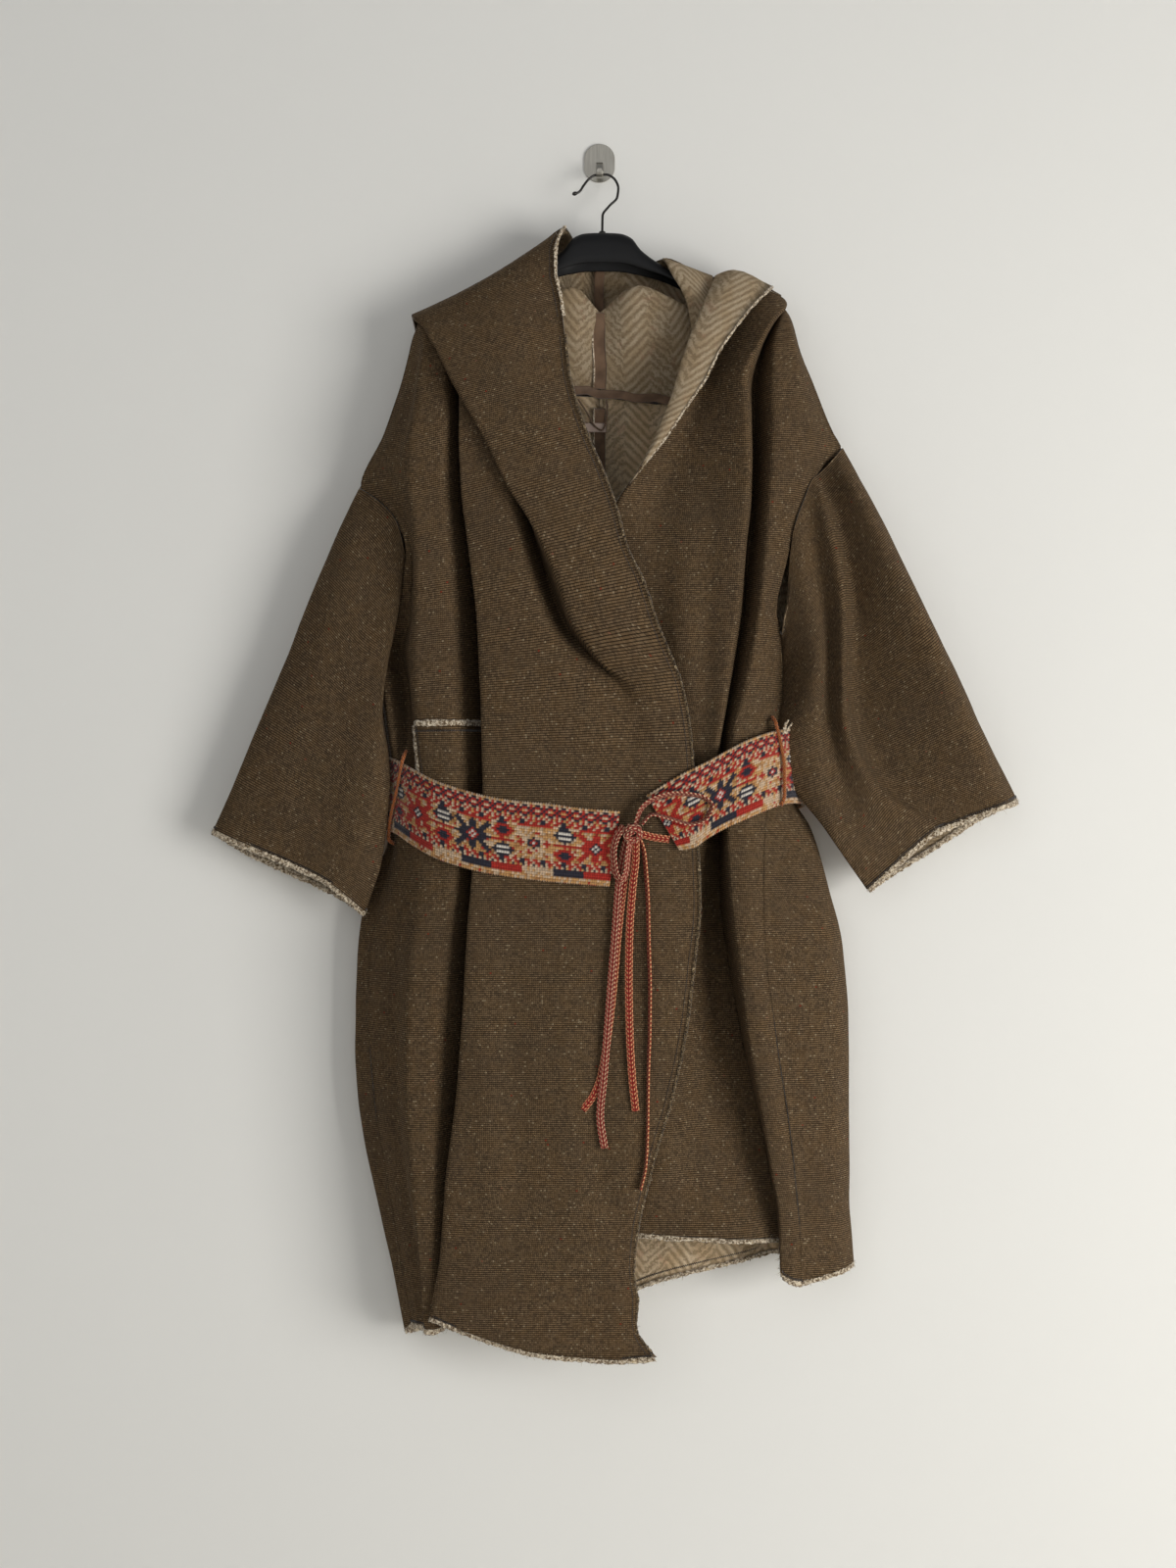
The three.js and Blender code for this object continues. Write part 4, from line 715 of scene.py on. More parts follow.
def tube_rings(line, radii, sides, facing=FRONTWARD, square=1.0):
    """Rings of points round a line: ovals whose radii are (half width, half thickness).

    A square below 1 makes the ovals more like rectangles with round corners."""
    line = np.asarray(line, float)
    along = unit(np.gradient(line, axis=0))
    out = np.broadcast_to(facing, line.shape)
    side = unit(np.cross(along, out))
    up = unit(np.cross(side, along))
    angles = np.arange(sides) * 2 * np.pi / sides
    radii = np.broadcast_to(radii, (len(line), 2))
    wide, high = (np.sign(f(angles)) * np.abs(f(angles)) ** square for f in (np.cos, np.sin))
    ring = side[:, None] * (wide[None, :, None] * radii[:, None, :1])
    ring = ring + up[:, None] * (high[None, :, None] * radii[:, None, 1:])
    return line[:, None] + ring


def ring_uv(u, v):
    """u round every ring and v along them, in one row for each point."""
    return np.stack(np.broadcast_arrays(u[None, :], v[:, None]), axis=-1).reshape(-1, 2)


def tube_uv(rings):
    """u round each ring from -half to half its length, v along."""
    sides = rings.shape[1]
    round_length = np.linalg.norm(rings[0] - np.roll(rings[0], 1, axis=0), axis=1).sum()
    return ring_uv((np.arange(sides) / sides - 0.5) * round_length, distance_along(rings.mean(axis=1)))


def bar_piece(name, rings, material, replaced=(), uv=None, smooth=True):
    """A bar through rings of points, closed at both ends."""
    count, sides = rings.shape[:2]
    last = (count - 1) * sides
    ends = [list(range(sides)), list(range(last + sides - 1, last - 1, -1))]
    faces = grid_quads(count, sides, loop=True, flip=True).tolist() + ends
    return mesh_piece(name, rings.reshape(-1, 3), faces, [material], replaced, uv=uv, smooth=smooth)


def recalculate(obj):
    """Turns every face of a closed piece outwards."""
    work = bmesh.new()
    work.from_mesh(obj.data)
    bmesh.ops.recalc_face_normals(work, faces=work.faces)
    work.to_mesh(obj.data)
    work.free()


# ------------------------------------------------------------------ materials
class Paint:
    """A material's nodes, added by short calls that return the socket that the next call reads."""

    def __init__(self, name, roughness=0.9, **sockets):
        self.material = bpy.data.materials.new(name)
        self.material.use_nodes = True
        self.tree = self.material.node_tree
        self.shader = self.tree.nodes["Principled BSDF"]
        self.set(Roughness=roughness, **sockets)

    def set(self, **sockets):
        """Sets the shader's own inputs, written with _ for a space."""
        for name, value in sockets.items():
            self.put(self.shader.inputs[name.replace("_", " ")], value)

    def put(self, socket, value):
        """Links a socket to an input, or sets the input to a plain value."""
        if isinstance(value, bpy.types.NodeSocket):
            self.tree.links.new(value, socket)
        else:
            socket.default_value = value

    def node(self, kind, inputs=(), out=0, **settings):
        """Adds a node and returns one of its outputs."""
        node = self.tree.nodes.new(kind)
        for key, value in settings.items():
            setattr(node, key, value)
        for socket, value in dict(inputs).items():
            self.put(node.inputs[socket], value)
        return node.outputs[out]

    def math(self, operation, a, b=0.0, c=0.0):
        return self.node("ShaderNodeMath", {0: a, 1: b, 2: c}, operation=operation)

    def scaled(self, value, factor, shift):
        """value * factor + shift"""
        return self.math("MULTIPLY_ADD", value, factor, shift)

    def wave(self, value, pitch):
        """A sine wave that repeats at every pitch of the value."""
        return self.math("SINE", self.math("MULTIPLY", value, 2 * math.pi / pitch))

    def hump(self, value):
        """From 0 up to 1 and back, for a value from 0 to 1."""
        return self.math("SINE", self.math("MULTIPLY", value, math.pi))

    def mix(self, amount, a, b, blend="MIX"):
        """Colour a where the amount is 0, and b where it is 1."""
        return self.node("ShaderNodeMix", {0: amount, 6: a, 7: b}, 2, data_type="RGBA", blend_type=blend)

    def stain(self, colour, mask, share, other):
        """The colour, with some share of another where the mask is 1."""
        return self.mix(self.math("MULTIPLY", mask, share), colour, other)

    def step(self, value, low, high):
        """0 below low, 1 above high and smooth between."""
        inputs = {0: value, 1: low, 2: high, 3: 0.0, 4: 1.0}
        return self.node("ShaderNodeMapRange", inputs, interpolation_type="SMOOTHSTEP")

    def noise(self, scale, detail, rough, where):
        inputs = {"Scale": scale, "Detail": detail, "Roughness": rough, "Vector": where}
        return self.node("ShaderNodeTexNoise", inputs)

    def uv(self):
        """u and v in millimetres."""
        place = self.node("ShaderNodeUVMap", uv_map="cloth")
        parts = self.node("ShaderNodeSeparateXYZ", {0: place}).node
        return [self.math("MULTIPLY", parts.outputs[i], 1 / MM) for i in (0, 1)]

    def place(self):
        """The point in the part's own frame, in metres."""
        return self.node("ShaderNodeTexCoord", out=3)

    def bump(self, height, depth, strength):
        """Raises the surface by depth, in mm, where height is 1."""
        inputs = {"Height": height, "Distance": depth * MM, "Strength": strength}
        self.set(Normal=self.node("ShaderNodeBump", inputs))


def rgb(r, g, b):
    """A colour given in 0 to 255 screen values."""
    def linear(v):
        v /= 255
        return v / 12.92 if v <= 0.04045 else ((v + 0.055) / 1.055) ** 2.4
    return (linear(r), linear(g), linear(b), 1.0)


RIB = 2.45  # height of one row of the weave
NUB = 2.3  # width of one stitch of the weave
WANDER = 1.6  # how far its rows and columns stray from straight
PALE_SHARE = (0.972, 0.99)  # nubs whose chance is past these are pale
RED_SHARE = (0.9985, 0.9992)  # nubs whose chance is past these are a stray red


def weave():
    """Olive brown cloth of fine rows of nubs with painted shade in the gaps between them, each nub a little
    lighter or darker.
    """
    p = Paint("coat_weave", roughness=0.95, Sheen_Weight=0.1, Sheen_Roughness=0.6, Specular_IOR_Level=0.1)
    p.set(Sheen_Tint=rgb(150, 125, 95))
    u, v = p.uv()
    place = p.place()
    wander = p.scaled(p.noise(30, 2, 0.5, place), WANDER, -WANDER / 2)
    row = p.math("DIVIDE", p.math("ADD", v, wander), RIB)
    col = p.math("DIVIDE", p.math("ADD", u, wander), NUB)
    cell = p.node("ShaderNodeCombineXYZ", {0: p.math("FLOOR", col), 1: p.math("FLOOR", row)})
    chance = p.node("ShaderNodeTexWhiteNoise", {"Vector": cell}, noise_dimensions="2D")
    ridge, nub = p.hump(p.math("FRACT", row)), p.hump(p.math("FRACT", col))
    height = p.math("MULTIPLY", p.math("POWER", ridge, 0.9), p.scaled(nub, 0.5, 0.5))
    yarn = p.mix(chance, rgb(78, 63, 46), rgb(114, 94, 70))
    yarn = p.stain(yarn, p.step(p.noise(70, 3, 0.6, place), 0.35, 0.68), 0.3, rgb(112, 86, 54))
    yarn = p.stain(yarn, p.step(p.noise(11, 2, 0.5, place), 0.4, 0.7), 0.3, rgb(84, 70, 55))
    yarn = p.mix(p.step(chance, *PALE_SHARE), yarn, rgb(134, 117, 92))
    yarn = p.mix(p.step(chance, *RED_SHARE), yarn, rgb(118, 58, 40))
    # painted shade: near-black where the nub height is low, in the gaps between rows and stitches
    p.set(Base_Color=p.mix(p.step(height, 0.1, 0.66), rgb(18, 13, 9), yarn))
    fuzz = p.noise(2600, 2, 0.7, place)
    p.bump(p.scaled(fuzz, 0.25, height), 0.6, 0.9)
    return p.material


CHEVRON = 30.0  # width of a column of slanted stripes
STRIPE = 11.4  # height of a light and a dark stripe


STRAY = 24.0  # how far the brushed pile carries the stripes to and fro


def herringbone(name, lift=None):
    """Brushed beige back of the cloth: columns of stripes that slant left and right by turns.

    lift makes it that many times as bright: painted light, a brighter copy that stands in for fill light."""
    p = Paint(name, roughness=0.97, Sheen_Weight=0.35, Sheen_Roughness=0.7, Specular_IOR_Level=0.1)
    p.set(Sheen_Tint=rgb(215, 195, 165))
    u, v = p.uv()
    place = p.place()
    stray = p.scaled(p.noise(95, 6, 0.8, place), STRAY, -STRAY / 2)
    fold = p.math("PINGPONG", p.math("ADD", u, p.math("MULTIPLY", stray, 0.6)), CHEVRON)
    slant = p.math("ADD", p.math("ADD", v, fold), stray)
    wave = p.wave(slant, STRIPE)
    hair = p.noise(520, 4, 0.75, place)
    stripe = p.step(p.math("ADD", wave, p.scaled(hair, 4.4, -2.1)), -1.9, 1.5)
    dark = p.mix(p.noise(45, 2, 0.5, place), rgb(134, 108, 76), rgb(160, 134, 100))
    light = p.mix(p.step(p.noise(40, 2, 0.5, place), 0.35, 0.7), rgb(208, 188, 158), rgb(194, 168, 132))
    colour = p.mix(stripe, dark, light)
    colour = p.stain(colour, p.step(p.noise(75, 1, 0.5, place), 0.62, 0.75), 0.25, rgb(188, 138, 112))
    # painted light: the whole colour is brightened to stand in for fill light
    if lift:
        colour = p.mix(1.0, colour, (lift, lift, lift, 1.0), "MULTIPLY")
    p.set(Base_Color=colour)
    p.bump(p.scaled(hair, 2.4, stripe), 1.5, 1.0)
    return p.material


def fuzzy_edge(name, light, dark, scale=420):
    """Short loops and cut ends along a raw edge, cream with darker threads."""
    p = Paint(name, roughness=0.95, Sheen_Weight=0.3, Specular_IOR_Level=0.1)
    place = p.place()
    speck = p.noise(scale, 3, 0.75, place)
    colour = p.mix(p.step(speck, 0.4, 0.62), dark, light)
    colour = p.mix(p.step(p.noise(scale * 0.6, 2, 0.6, place), 0.6, 0.72), colour, rgb(178, 158, 124))
    p.set(Base_Color=colour)
    p.bump(speck, 1.0, 0.9)
    return p.material


def satin():
    """Brown satin tape with a fine twill."""
    p = Paint("tape_satin", roughness=0.42, Sheen_Weight=0.2, Specular_IOR_Level=0.4)
    place = p.place()
    u, v = p.uv()
    twill = p.wave(p.math("ADD", u, v), 0.7)
    tone = p.step(p.noise(60, 2, 0.5, place), 0.3, 0.7)
    colour = p.mix(tone, rgb(98, 74, 54), rgb(128, 100, 76))
    p.set(Base_Color=p.mix(p.scaled(twill, 0.06, 0.06), colour, rgb(60, 44, 32)))
    p.bump(p.scaled(p.noise(220, 2, 0.5, place), 2.0, twill), 0.25, 0.6)
    return p.material


def thread(name, base, dark, pitch, slope=1.0):
    """Twisted thread: slanting plies along v, with u round the cord, and painted shade in the grooves
    between the plies.
    """
    p = Paint(name, roughness=0.8, Sheen_Weight=0.3, Specular_IOR_Level=0.2)
    u, v = p.uv()
    wave = p.wave(p.math("ADD", v, p.math("MULTIPLY", u, slope)), pitch)
    hair = p.noise(1500, 2, 0.6, p.place())
    ply = p.step(p.math("ADD", wave, p.math("MULTIPLY", hair, 0.8)), -0.7, 0.9)
    # painted shade: the dark colour goes where the wave is low, in the grooves between plies
    p.set(Base_Color=p.mix(ply, dark, base))
    p.bump(p.math("ADD", wave, hair), 0.3, 0.8)
    return p.material


BRAID_ROW, BRAID_STRAND = 5.2, 2.6  # height of a chevron of the braid and width of a strand
PALE_LINE = 1.3  # width of the pale line down each side of a braid


def braid_paint(name, base, light, edge_stripe):
    """Flat braid: strands that cross in chevrons, light stitches on them, pale lines down both sides, and
    painted shade between the strands.

    edge_stripe is how far the pale lines are from the middle."""
    p = Paint(name, roughness=0.8, Sheen_Weight=0.05, Specular_IOR_Level=0.2)
    u, v = p.uv()
    side = p.math("ABSOLUTE", u)
    row = p.math("FRACT", p.math("DIVIDE", p.math("ADD", v, side), BRAID_ROW))
    strand = p.math("FRACT", p.math("DIVIDE", side, BRAID_STRAND))
    bump = p.math("MULTIPLY", p.hump(row), p.hump(strand))
    speck = p.math("MULTIPLY", p.step(row, 0.45, 0.6), p.step(strand, 0.3, 0.5))
    colour = p.stain(base, speck, 0.85, light)
    inner, outer = (p.step(side, edge, edge + 0.4) for edge in (edge_stripe, edge_stripe + PALE_LINE))
    colour = p.stain(colour, p.math("SUBTRACT", inner, outer), 0.28, light)
    # painted shade: dark red where the braid's bump is low, between strands and rows
    p.set(Base_Color=p.mix(p.step(bump, 0.0, 0.4), rgb(86, 30, 22), colour))
    p.bump(p.scaled(p.noise(1800, 2, 0.6, p.place()), 0.3, bump), 0.5, 0.9)
    return p.material


def stitched():
    """Thick jacquard in yarn: the colour is each stitch's own colour with its painted highlight and shade,
    from the point colours.
    """
    p = Paint("belt_stitches", roughness=0.88, Sheen_Weight=0.35, Specular_IOR_Level=0.15)
    tint = p.node("ShaderNodeAttribute", attribute_name="tint")
    hair = p.noise(1700, 3, 0.7, p.place())
    p.set(Base_Color=p.stain(tint, p.step(hair, 0.4, 0.68), 0.25, rgb(84, 50, 34)))
    p.bump(hair, 0.35, 0.8)
    return p.material


def moulded():
    """Matte black plastic with a fine spark-eroded grain."""
    p = Paint("hanger_black", roughness=0.48, Specular_IOR_Level=0.25)
    place = p.place()
    p.set(Base_Color=p.mix(p.noise(30, 2, 0.5, place), rgb(15, 15, 16), rgb(21, 21, 22)))
    p.set(Roughness=p.scaled(p.noise(90, 2, 0.5, place), 0.12, 0.42))
    p.bump(p.noise(2400, 2, 0.6, place), 0.06, 0.5)
    return p.material


def metal(name, base, roughness, stretch, grain):
    """Metal whose fine scratches run along the axis that stretch shrinks, and dull it by up to grain."""
    p = Paint(name, roughness=roughness, Metallic=1.0)
    where = p.node("ShaderNodeVectorMath", {0: p.place(), 1: stretch}, operation="MULTIPLY")
    scratch = p.noise(900, 3, 0.6, where)
    shade = tuple(0.78 * c for c in base[:3]) + (1.0,)
    p.set(Base_Color=p.mix(p.step(scratch, 0.35, 0.65), shade, base))
    p.set(Roughness=p.scaled(scratch, grain, roughness - grain / 2))
    p.bump(scratch, 0.03, 0.5)
    return p.material


def ribbon():
    """Bare woven ribbon with a pale rose ground."""
    p = Paint("label_ribbon", roughness=0.6)
    wave = p.wave(p.uv()[1], 0.8)
    p.set(Base_Color=p.mix(p.scaled(wave, 0.2, 0.3), rgb(196, 176, 160), rgb(178, 148, 138)))
    p.bump(wave, 0.12, 0.6)
    return p.material


WEAVE = weave()
LINING = herringbone("lining_herringbone")
# a brighter copy of the lining: painted light on the inside of the back panels
PAINTED_LIGHT_LINING = herringbone("lining_herringbone_painted_light", 1.6)
EDGE = fuzzy_edge("raw_edge", rgb(120, 100, 72), rgb(46, 35, 24))
OLIVE_EDGE = fuzzy_edge("edge_olive", rgb(112, 94, 68), rgb(40, 31, 21))
FLUFF = fuzzy_edge("edge_fluff", rgb(222, 208, 184), rgb(98, 78, 54), 360)
SATIN = satin()
DARK_THREAD = thread("stitching_dark", rgb(44, 34, 26), rgb(14, 11, 9), 1.4)


# ------------------------------------------------------------------ trims along raw edges
TRIM_STEP = 1.2  # length of a step along a trim
# How each raw edge is trimmed: width of its roll, reach of its fibres and how dense they are, how far
# in its stitching runs, and how far that swings.
TRIMS = {
    "edge_front_right_upper": (5.2, 3, 0.9, 6.0, 0.4),
    "edge_front_right_lower": (4.4, 3, 0.9, 6.0, 0.4),
    "edge_front_left": (3.6, 3.4, 1.0, 4.5, 0.4),
    "hem_front_right": (8.6, 6, 2.6, 2.6, 1.1),
    "hem_front_left": (8.0, 6, 2.6, 2.6, 1.1),
    "hem_back_right": (7, 6, 2.4, 7.5, 0.9),
    "hem_back_left": (7, 6, 2.4, 7.5, 0.9),
    "cuff_sleeve_right": (8.6, 6, 2.6, 2.6, 1.1),
    "cuff_sleeve_left": (8.6, 6, 2.6, 2.6, 1.1),
    "pocket_top": (7.6, 4, 2.6, 6.5, 0.9),
    "pocket_side": (7.2, 3.5, 2.4, 5.5, 0.7),
}
# The roll of loops: its lumps' length and share of its size, how far out it lies as a share of its width,
# and the length and height of its roughness.
ROLL = {"sides": 10, "lump": 4.0, "swell": 0.45, "outset": 0.3, "rough": 1.7, "roughness": 0.8}
FIBRE_SIDES = 3
# Along a fibre: each row is [share of its length, share of its radius there].
FIBRE_TAPER = [[0, 1], [0.35, 0.9], [0.7, 0.7], [1, 0.25]]
FIBRES_PER_STEP = 1.8  # on an edge whose fibres have a density of 1
THREAD_PITCH = 2.6  # length of one zigzag of the stitching along an edge


def trim_line(points, step=TRIM_STEP):
    """A line resampled at an even step."""
    points = np.asarray(points, float)
    at = distance_along(points)
    return resample(points, at, np.linspace(0, at[-1], max(4, int(at[-1] / step))))


def lumpy_roll(name, line, out, normal, width, thick, paint):
    """A soft roll of loops along a raw edge: an oval tube with lumps."""
    angles = np.arange(ROLL["sides"]) * 2 * np.pi / ROLL["sides"]
    size = 1 + ROLL["swell"] * wavy(line, ROLL["lump"], 3)[:, None]
    reach = np.cos(angles)[None, :] * width / 2 * size + width * ROLL["outset"]
    stand = np.sin(angles)[None, :] * thick / 2 * size
    rings = line[:, None] + out[:, None] * reach[..., None] + normal[:, None] * stand[..., None]
    rough = np.stack([wavy(rings, ROLL["rough"], seed) for seed in (11, 12, 13)], axis=-1)
    rings = rings + ROLL["roughness"] * rough
    bar_piece(name, rings, paint)


def fibre(base, lean, curl, length, radius, start):
    """Points and faces of one curled fibre, whose first point is number start."""
    side = unit(np.cross(lean, [0.3, 0.9, 0.2]))
    up = np.cross(side, lean)
    points = []
    for t, share in FIBRE_TAPER:
        centre = base + lean * length * t + curl * length * 0.5 * t * t
        for k in range(FIBRE_SIDES):
            a = 2 * math.pi * k / FIBRE_SIDES
            points.append(centre + (side * math.cos(a) + up * math.sin(a)) * radius * share)
    faces = grid_quads(len(FIBRE_TAPER), FIBRE_SIDES, loop=True, start=start).tolist()
    end = start + len(points)
    return points, [*faces, list(range(end - 1, end - 1 - FIBRE_SIDES, -1))]


def fibres(line, out, normal, density, reach):
    """Points and faces of short fibres that stand off an edge, density of them for each of its steps."""
    points, faces = [], []
    for _ in range(max(1, int(len(line) * density))):
        i = random.randrange(len(line))
        lean = out[i] * random.uniform(0.2, 1.2) + normal[i] * random.uniform(-1, 1)
        lean = unit(lean + RNG.normal(0, 0.45, 3))
        curl = RNG.normal(0, 0.8, 3)
        length = reach * random.uniform(0.35, 1.0) ** 1.5
        base = line[i] + normal[i] * random.uniform(-1.1, 1.1) + out[i] * random.uniform(-0.5, 1.5)
        radius = random.uniform(0.17, 0.36)
        more_points, more_faces = fibre(base, lean, curl, length, radius, len(points))
        points += more_points
        faces += more_faces
    return points, faces


def stitching(line, out, normal, inset, swing):
    """Rings of a zigzag of thread near an edge: fine where it runs straight, thick where it swings."""
    radius = 0.25 + 0.35 * swing
    along = trim_line(line, THREAD_PITCH / 2)
    pick = spread(len(along), len(line))
    side = np.where(np.arange(len(along)) % 2 == 0, 1, -1)[:, None]
    path = along - out[pick] * (inset + swing * side) + normal[pick] * (CLOTH / 2 + radius * 0.6)
    return tube_rings(path, (radius, radius), 4, normal[pick])


def raw_edge(name, edge, inner, face, paint=FLUFF):
    """Trims a raw edge: the roll of loops, loose fibres, and dark stitching on the face side.

    edge and inner are lines on the cloth, inner a little inside it; face points out of the cloth's face."""
    width, reach, density, inset, swing = TRIMS[name]
    line, inside = trim_line(edge), trim_line(inner)
    out = unit(line - inside[spread(len(line), len(inside))])
    facing = trim_line(face) if len(face) != len(line) else face
    normal = unit(facing[spread(len(line), len(facing))])
    lumpy_roll(name + "_roll", line, out, normal, width, CLOTH + 1.2, paint)
    points, faces = fibres(line, out, normal, density * FIBRES_PER_STEP, reach)
    mesh_piece(name + "_fibres", points, faces, [paint])
    bar_piece(name + "_stitching", stitching(line, out, normal, inset, swing), DARK_THREAD)


LEAST_AREA = 0.3  # the smallest share of its length by its width that a sheet's area is taken as


def declare_cloth(grid, loop=False):
    """Works out the size that a piece was cut to, as long and wide as its cloth is along itself, and its
    area; nothing is done with them.
    """
    ring = grid[:, [*range(grid.shape[1]), 0]] if loop else grid
    width = lengths_across(ring)[:, -1].max() * MM
    length = lengths_down(ring).max() * MM
    down, across = np.diff(ring, axis=0)[:, :-1], np.diff(ring, axis=1)[:-1]
    area = float(np.linalg.norm(np.cross(across, down), axis=-1).sum() * MM * MM)
    area = min(max(area, LEAST_AREA * width * length), width * length)


# ------------------------------------------------------------------ coat body
def grain_uv(grid, start, tilt=None):
    """u across from one column and v down, with level rows or rows that fall by what tilt says."""
    across = lengths_across(grid, start)
    down = -grid[:, :, 2]
    return np.stack([across, down + tilt(grid, across) if tilt else down], axis=-1)


def lapel_tilt(amount, full, gone):
    """Rows slant on the lapel above the height gone, most above the height full."""
    def tilt(grid, across):
        share = np.clip((grid[:, :, 2] - gone) / (full - gone), 0, 1)
        return amount * share * share * (3 - 2 * share) * np.maximum(across, 0)
    return tilt


def ripple(grid, size, depth, seed):
    """Small soft waves all over a panel."""
    return grid + normals_of(grid) * (wavy(grid, size, seed) * depth)[..., None]


def crease(grid, table):
    """Presses soft creases into a panel, each one deepest along its middle and fading at both ends."""
    moved = grid.copy()
    flat = grid[:, :, [0, 2]]
    for x0, z0, x1, z1, half, depth in table:
        a, b = np.array([x0, z0]), np.array([x1, z1])
        t = np.clip(((flat - a) @ (b - a)) / ((b - a) @ (b - a)), 0, 1)
        away = np.linalg.norm(flat - (a + t[..., None] * (b - a)), axis=-1)
        fade = np.sin(np.pi * np.clip(t, 0.02, 0.98)) ** 0.7
        moved[:, :, 1] += depth * np.exp(-((away / half) ** 2)) * fade
    return moved


# Small soft waves in the cloth of a panel: each row is [size, depth, how far its seed is from the panel's].
RIPPLES = [[95, 1.6, 0], [34, 0.5, 5]]
LAPEL_TILT = {"amount": 0.25, "full": -300, "gone": -820}


def body_panel(name, folds, seed, origin, outside, tilt=None, turned=(), lining=LINING):
    """One panel of the coat's body, with its creases pressed into it.

    Its cloth's u starts at the fold origin. Between the folds in turned, its inside is like its outside."""
    grid, column = body_grid(folds)
    for size, depth, shift in RIPPLES:
        grid = ripple(grid, size, depth, seed + shift)
    grid = crease(grid, CREASES[name])
    uv = grain_uv(grid, column[origin], tilt)
    sides = (WEAVE, lining) if outside == PLUS else (lining, WEAVE)
    between = [column[fold] for fold in turned] or (0, 0)
    piece = cloth_piece(name + "_cloth", grid, uv, *sides, EDGE, "coat_cloth", [name], turned=between)
    declare_cloth(grid)
    return grid


# Soft creases: each row is [x, z, to x, to z, half width, depth], and depth is along +Y.
CREASES = {
  "front_right": [
    [-110, -420, 40, -640, 22, -3], [40, -640, 96, -640, 14, -4], [-60, -560, 66, -672, 12, 4],
    [-150, -880, -120, -1240, 20, -3], [-40, -900, -20, -1380, 26, -3], [30, -880, 60, -1120, 18, 3],
    [-110, -900, -90, -1360, 18, 3], [-8, -1180, 44, -1340, 16, 4],
  ],
  "front_left": [
    [70, -480, 66, -720, 16, 4], [100, -380, 96, -700, 18, -4], [130, -400, 118, -900, 12, 4],
    [120, -820, 138, -1200, 15, 9], [70, -900, 80, -1240, 20, -4], [100, -880, 110, -1240, 12, 4],
    [205, -800, 222, -1280, 10, 4],
  ],
  "back_right": [
    [-60, -520, -70, -1300, 34, 7], [-130, -480, -140, -1300, 30, -6], [-180, -560, -186, -1300, 20, 6],
    [-90, -380, -150, -520, 20, 4],
  ],
  "back_left": [
    [50, -520, 62, -1300, 34, 7], [120, -480, 132, -1300, 30, -6], [170, -560, 184, -1300, 20, 6],
    [90, -380, 150, -520, 20, 4],
  ],
}


HOOD_EDGE_FOOT = -222  # above this height the front edge keeps the hood's cream fluff
FRAY = {"top": -1060, "density": 1.5, "reach": 3.4}  # cream fibres at the foot of the front edge


def edge_in_two(name, edge, inner, face):
    """A front edge: cream above the chest, trimmed in the coat's own colour below, frayed at its foot."""
    high = edge[:, 2] > HOOD_EDGE_FOOT
    for part, paint, rows in (("upper", FLUFF, high), ("lower", OLIVE_EDGE, ~high)):
        raw_edge(f"{name}_{part}", edge[rows], inner[rows], face[rows], paint)
    foot = edge[:, 2] < FRAY["top"]
    line = trim_line(edge[foot])
    pick = spread(len(line), foot.sum())
    out, normal = unit(edge[foot] - inner[foot])[pick], unit(face[foot])[pick]
    points, faces = fibres(line, out, normal, FRAY["density"], FRAY["reach"])
    mesh_piece(name + "_fray", points, faces, [FLUFF])


def make_body():
    """The four body panels, with their raw edges and hems; returns the one that carries the pocket."""
    tilt = lapel_tilt(**LAPEL_TILT)
    right = body_panel("front_right", FRONT_RIGHT, 1, "crestOne", MINUS, tilt, ["valleyTwo", "lapel"])
    face = -normals_of(right)
    edge_in_two("edge_front_right", right[:, -1], right[:, -2], face[:, -1])
    raw_edge("hem_front_right", right[-1], right[-2], face[-1])
    left = body_panel("front_left", FRONT_LEFT, 2, "shellFold", MINUS)
    face = -normals_of(left)
    raw_edge("edge_front_left", left[:, 0], left[:, 1], face[:, 0])
    raw_edge("hem_front_left", left[-1], left[-2], face[-1])
    back_right = body_panel("back_right", BACK_RIGHT, 3, "centre", PLUS, lining=PAINTED_LIGHT_LINING)
    back_left = body_panel("back_left", BACK_LEFT, 4, "centre", PLUS, lining=PAINTED_LIGHT_LINING)
    for side, grid in (("right", back_right), ("left", back_left)):
        raw_edge("hem_back_" + side, grid[-1], grid[-2], -normals_of(grid)[-1])
    return right


def make_sleeve(name, folds, outside, seed):
    """A sleeve: a tube of cloth with ribs across it and a raw cuff."""
    grid = column_grid(folds, 13, 8, loop=True)
    normals = normals_of(grid, True)
    grid = grid + normals * (wavy(grid, 85, seed) * 1.5 + wavy(grid, 30, seed + 4) * 0.45)[..., None]
    across = lengths_across(grid)
    down = np.repeat(lengths_down(grid).mean(axis=1, keepdims=True), grid.shape[1], axis=1)
    uv = np.stack([across, down], axis=-1)
    sides = (WEAVE, LINING) if outside == PLUS else (LINING, WEAVE)
    piece = cloth_piece(name + "_cloth", grid, uv, *sides, EDGE, "coat_cloth", [name], loop=True)
    declare_cloth(grid, loop=True)
    outward = normals if outside == PLUS else -normals
    ring = [*range(grid.shape[1]), 0]
    raw_edge("cuff_" + name, grid[-1][ring], grid[-2][ring], outward[-1][ring])


SEAM_RADIUS = 4
SEAM_BEHIND = 3.5  # how far behind the armhole's line its seam lies


def make_armhole_seam(side, armhole):
    """The turned-in cloth that fills the seam between a sleeve and the body."""
    line = through([[x, y + SEAM_BEHIND, z] for z, x, y in armhole], 10)
    rings = tube_rings(line, (SEAM_RADIUS, SEAM_RADIUS), 10)
    rings = rings + (wavy(rings, 8, 41) * 0.5)[..., None]
    bar_piece("armhole_seam_" + side, rings, WEAVE, uv=tube_uv(rings))


POCKET = {"from": "crestOne", "to": "valleyOne", "top": -686, "bottom": -806, "thick": 2, "gap": 0.3}


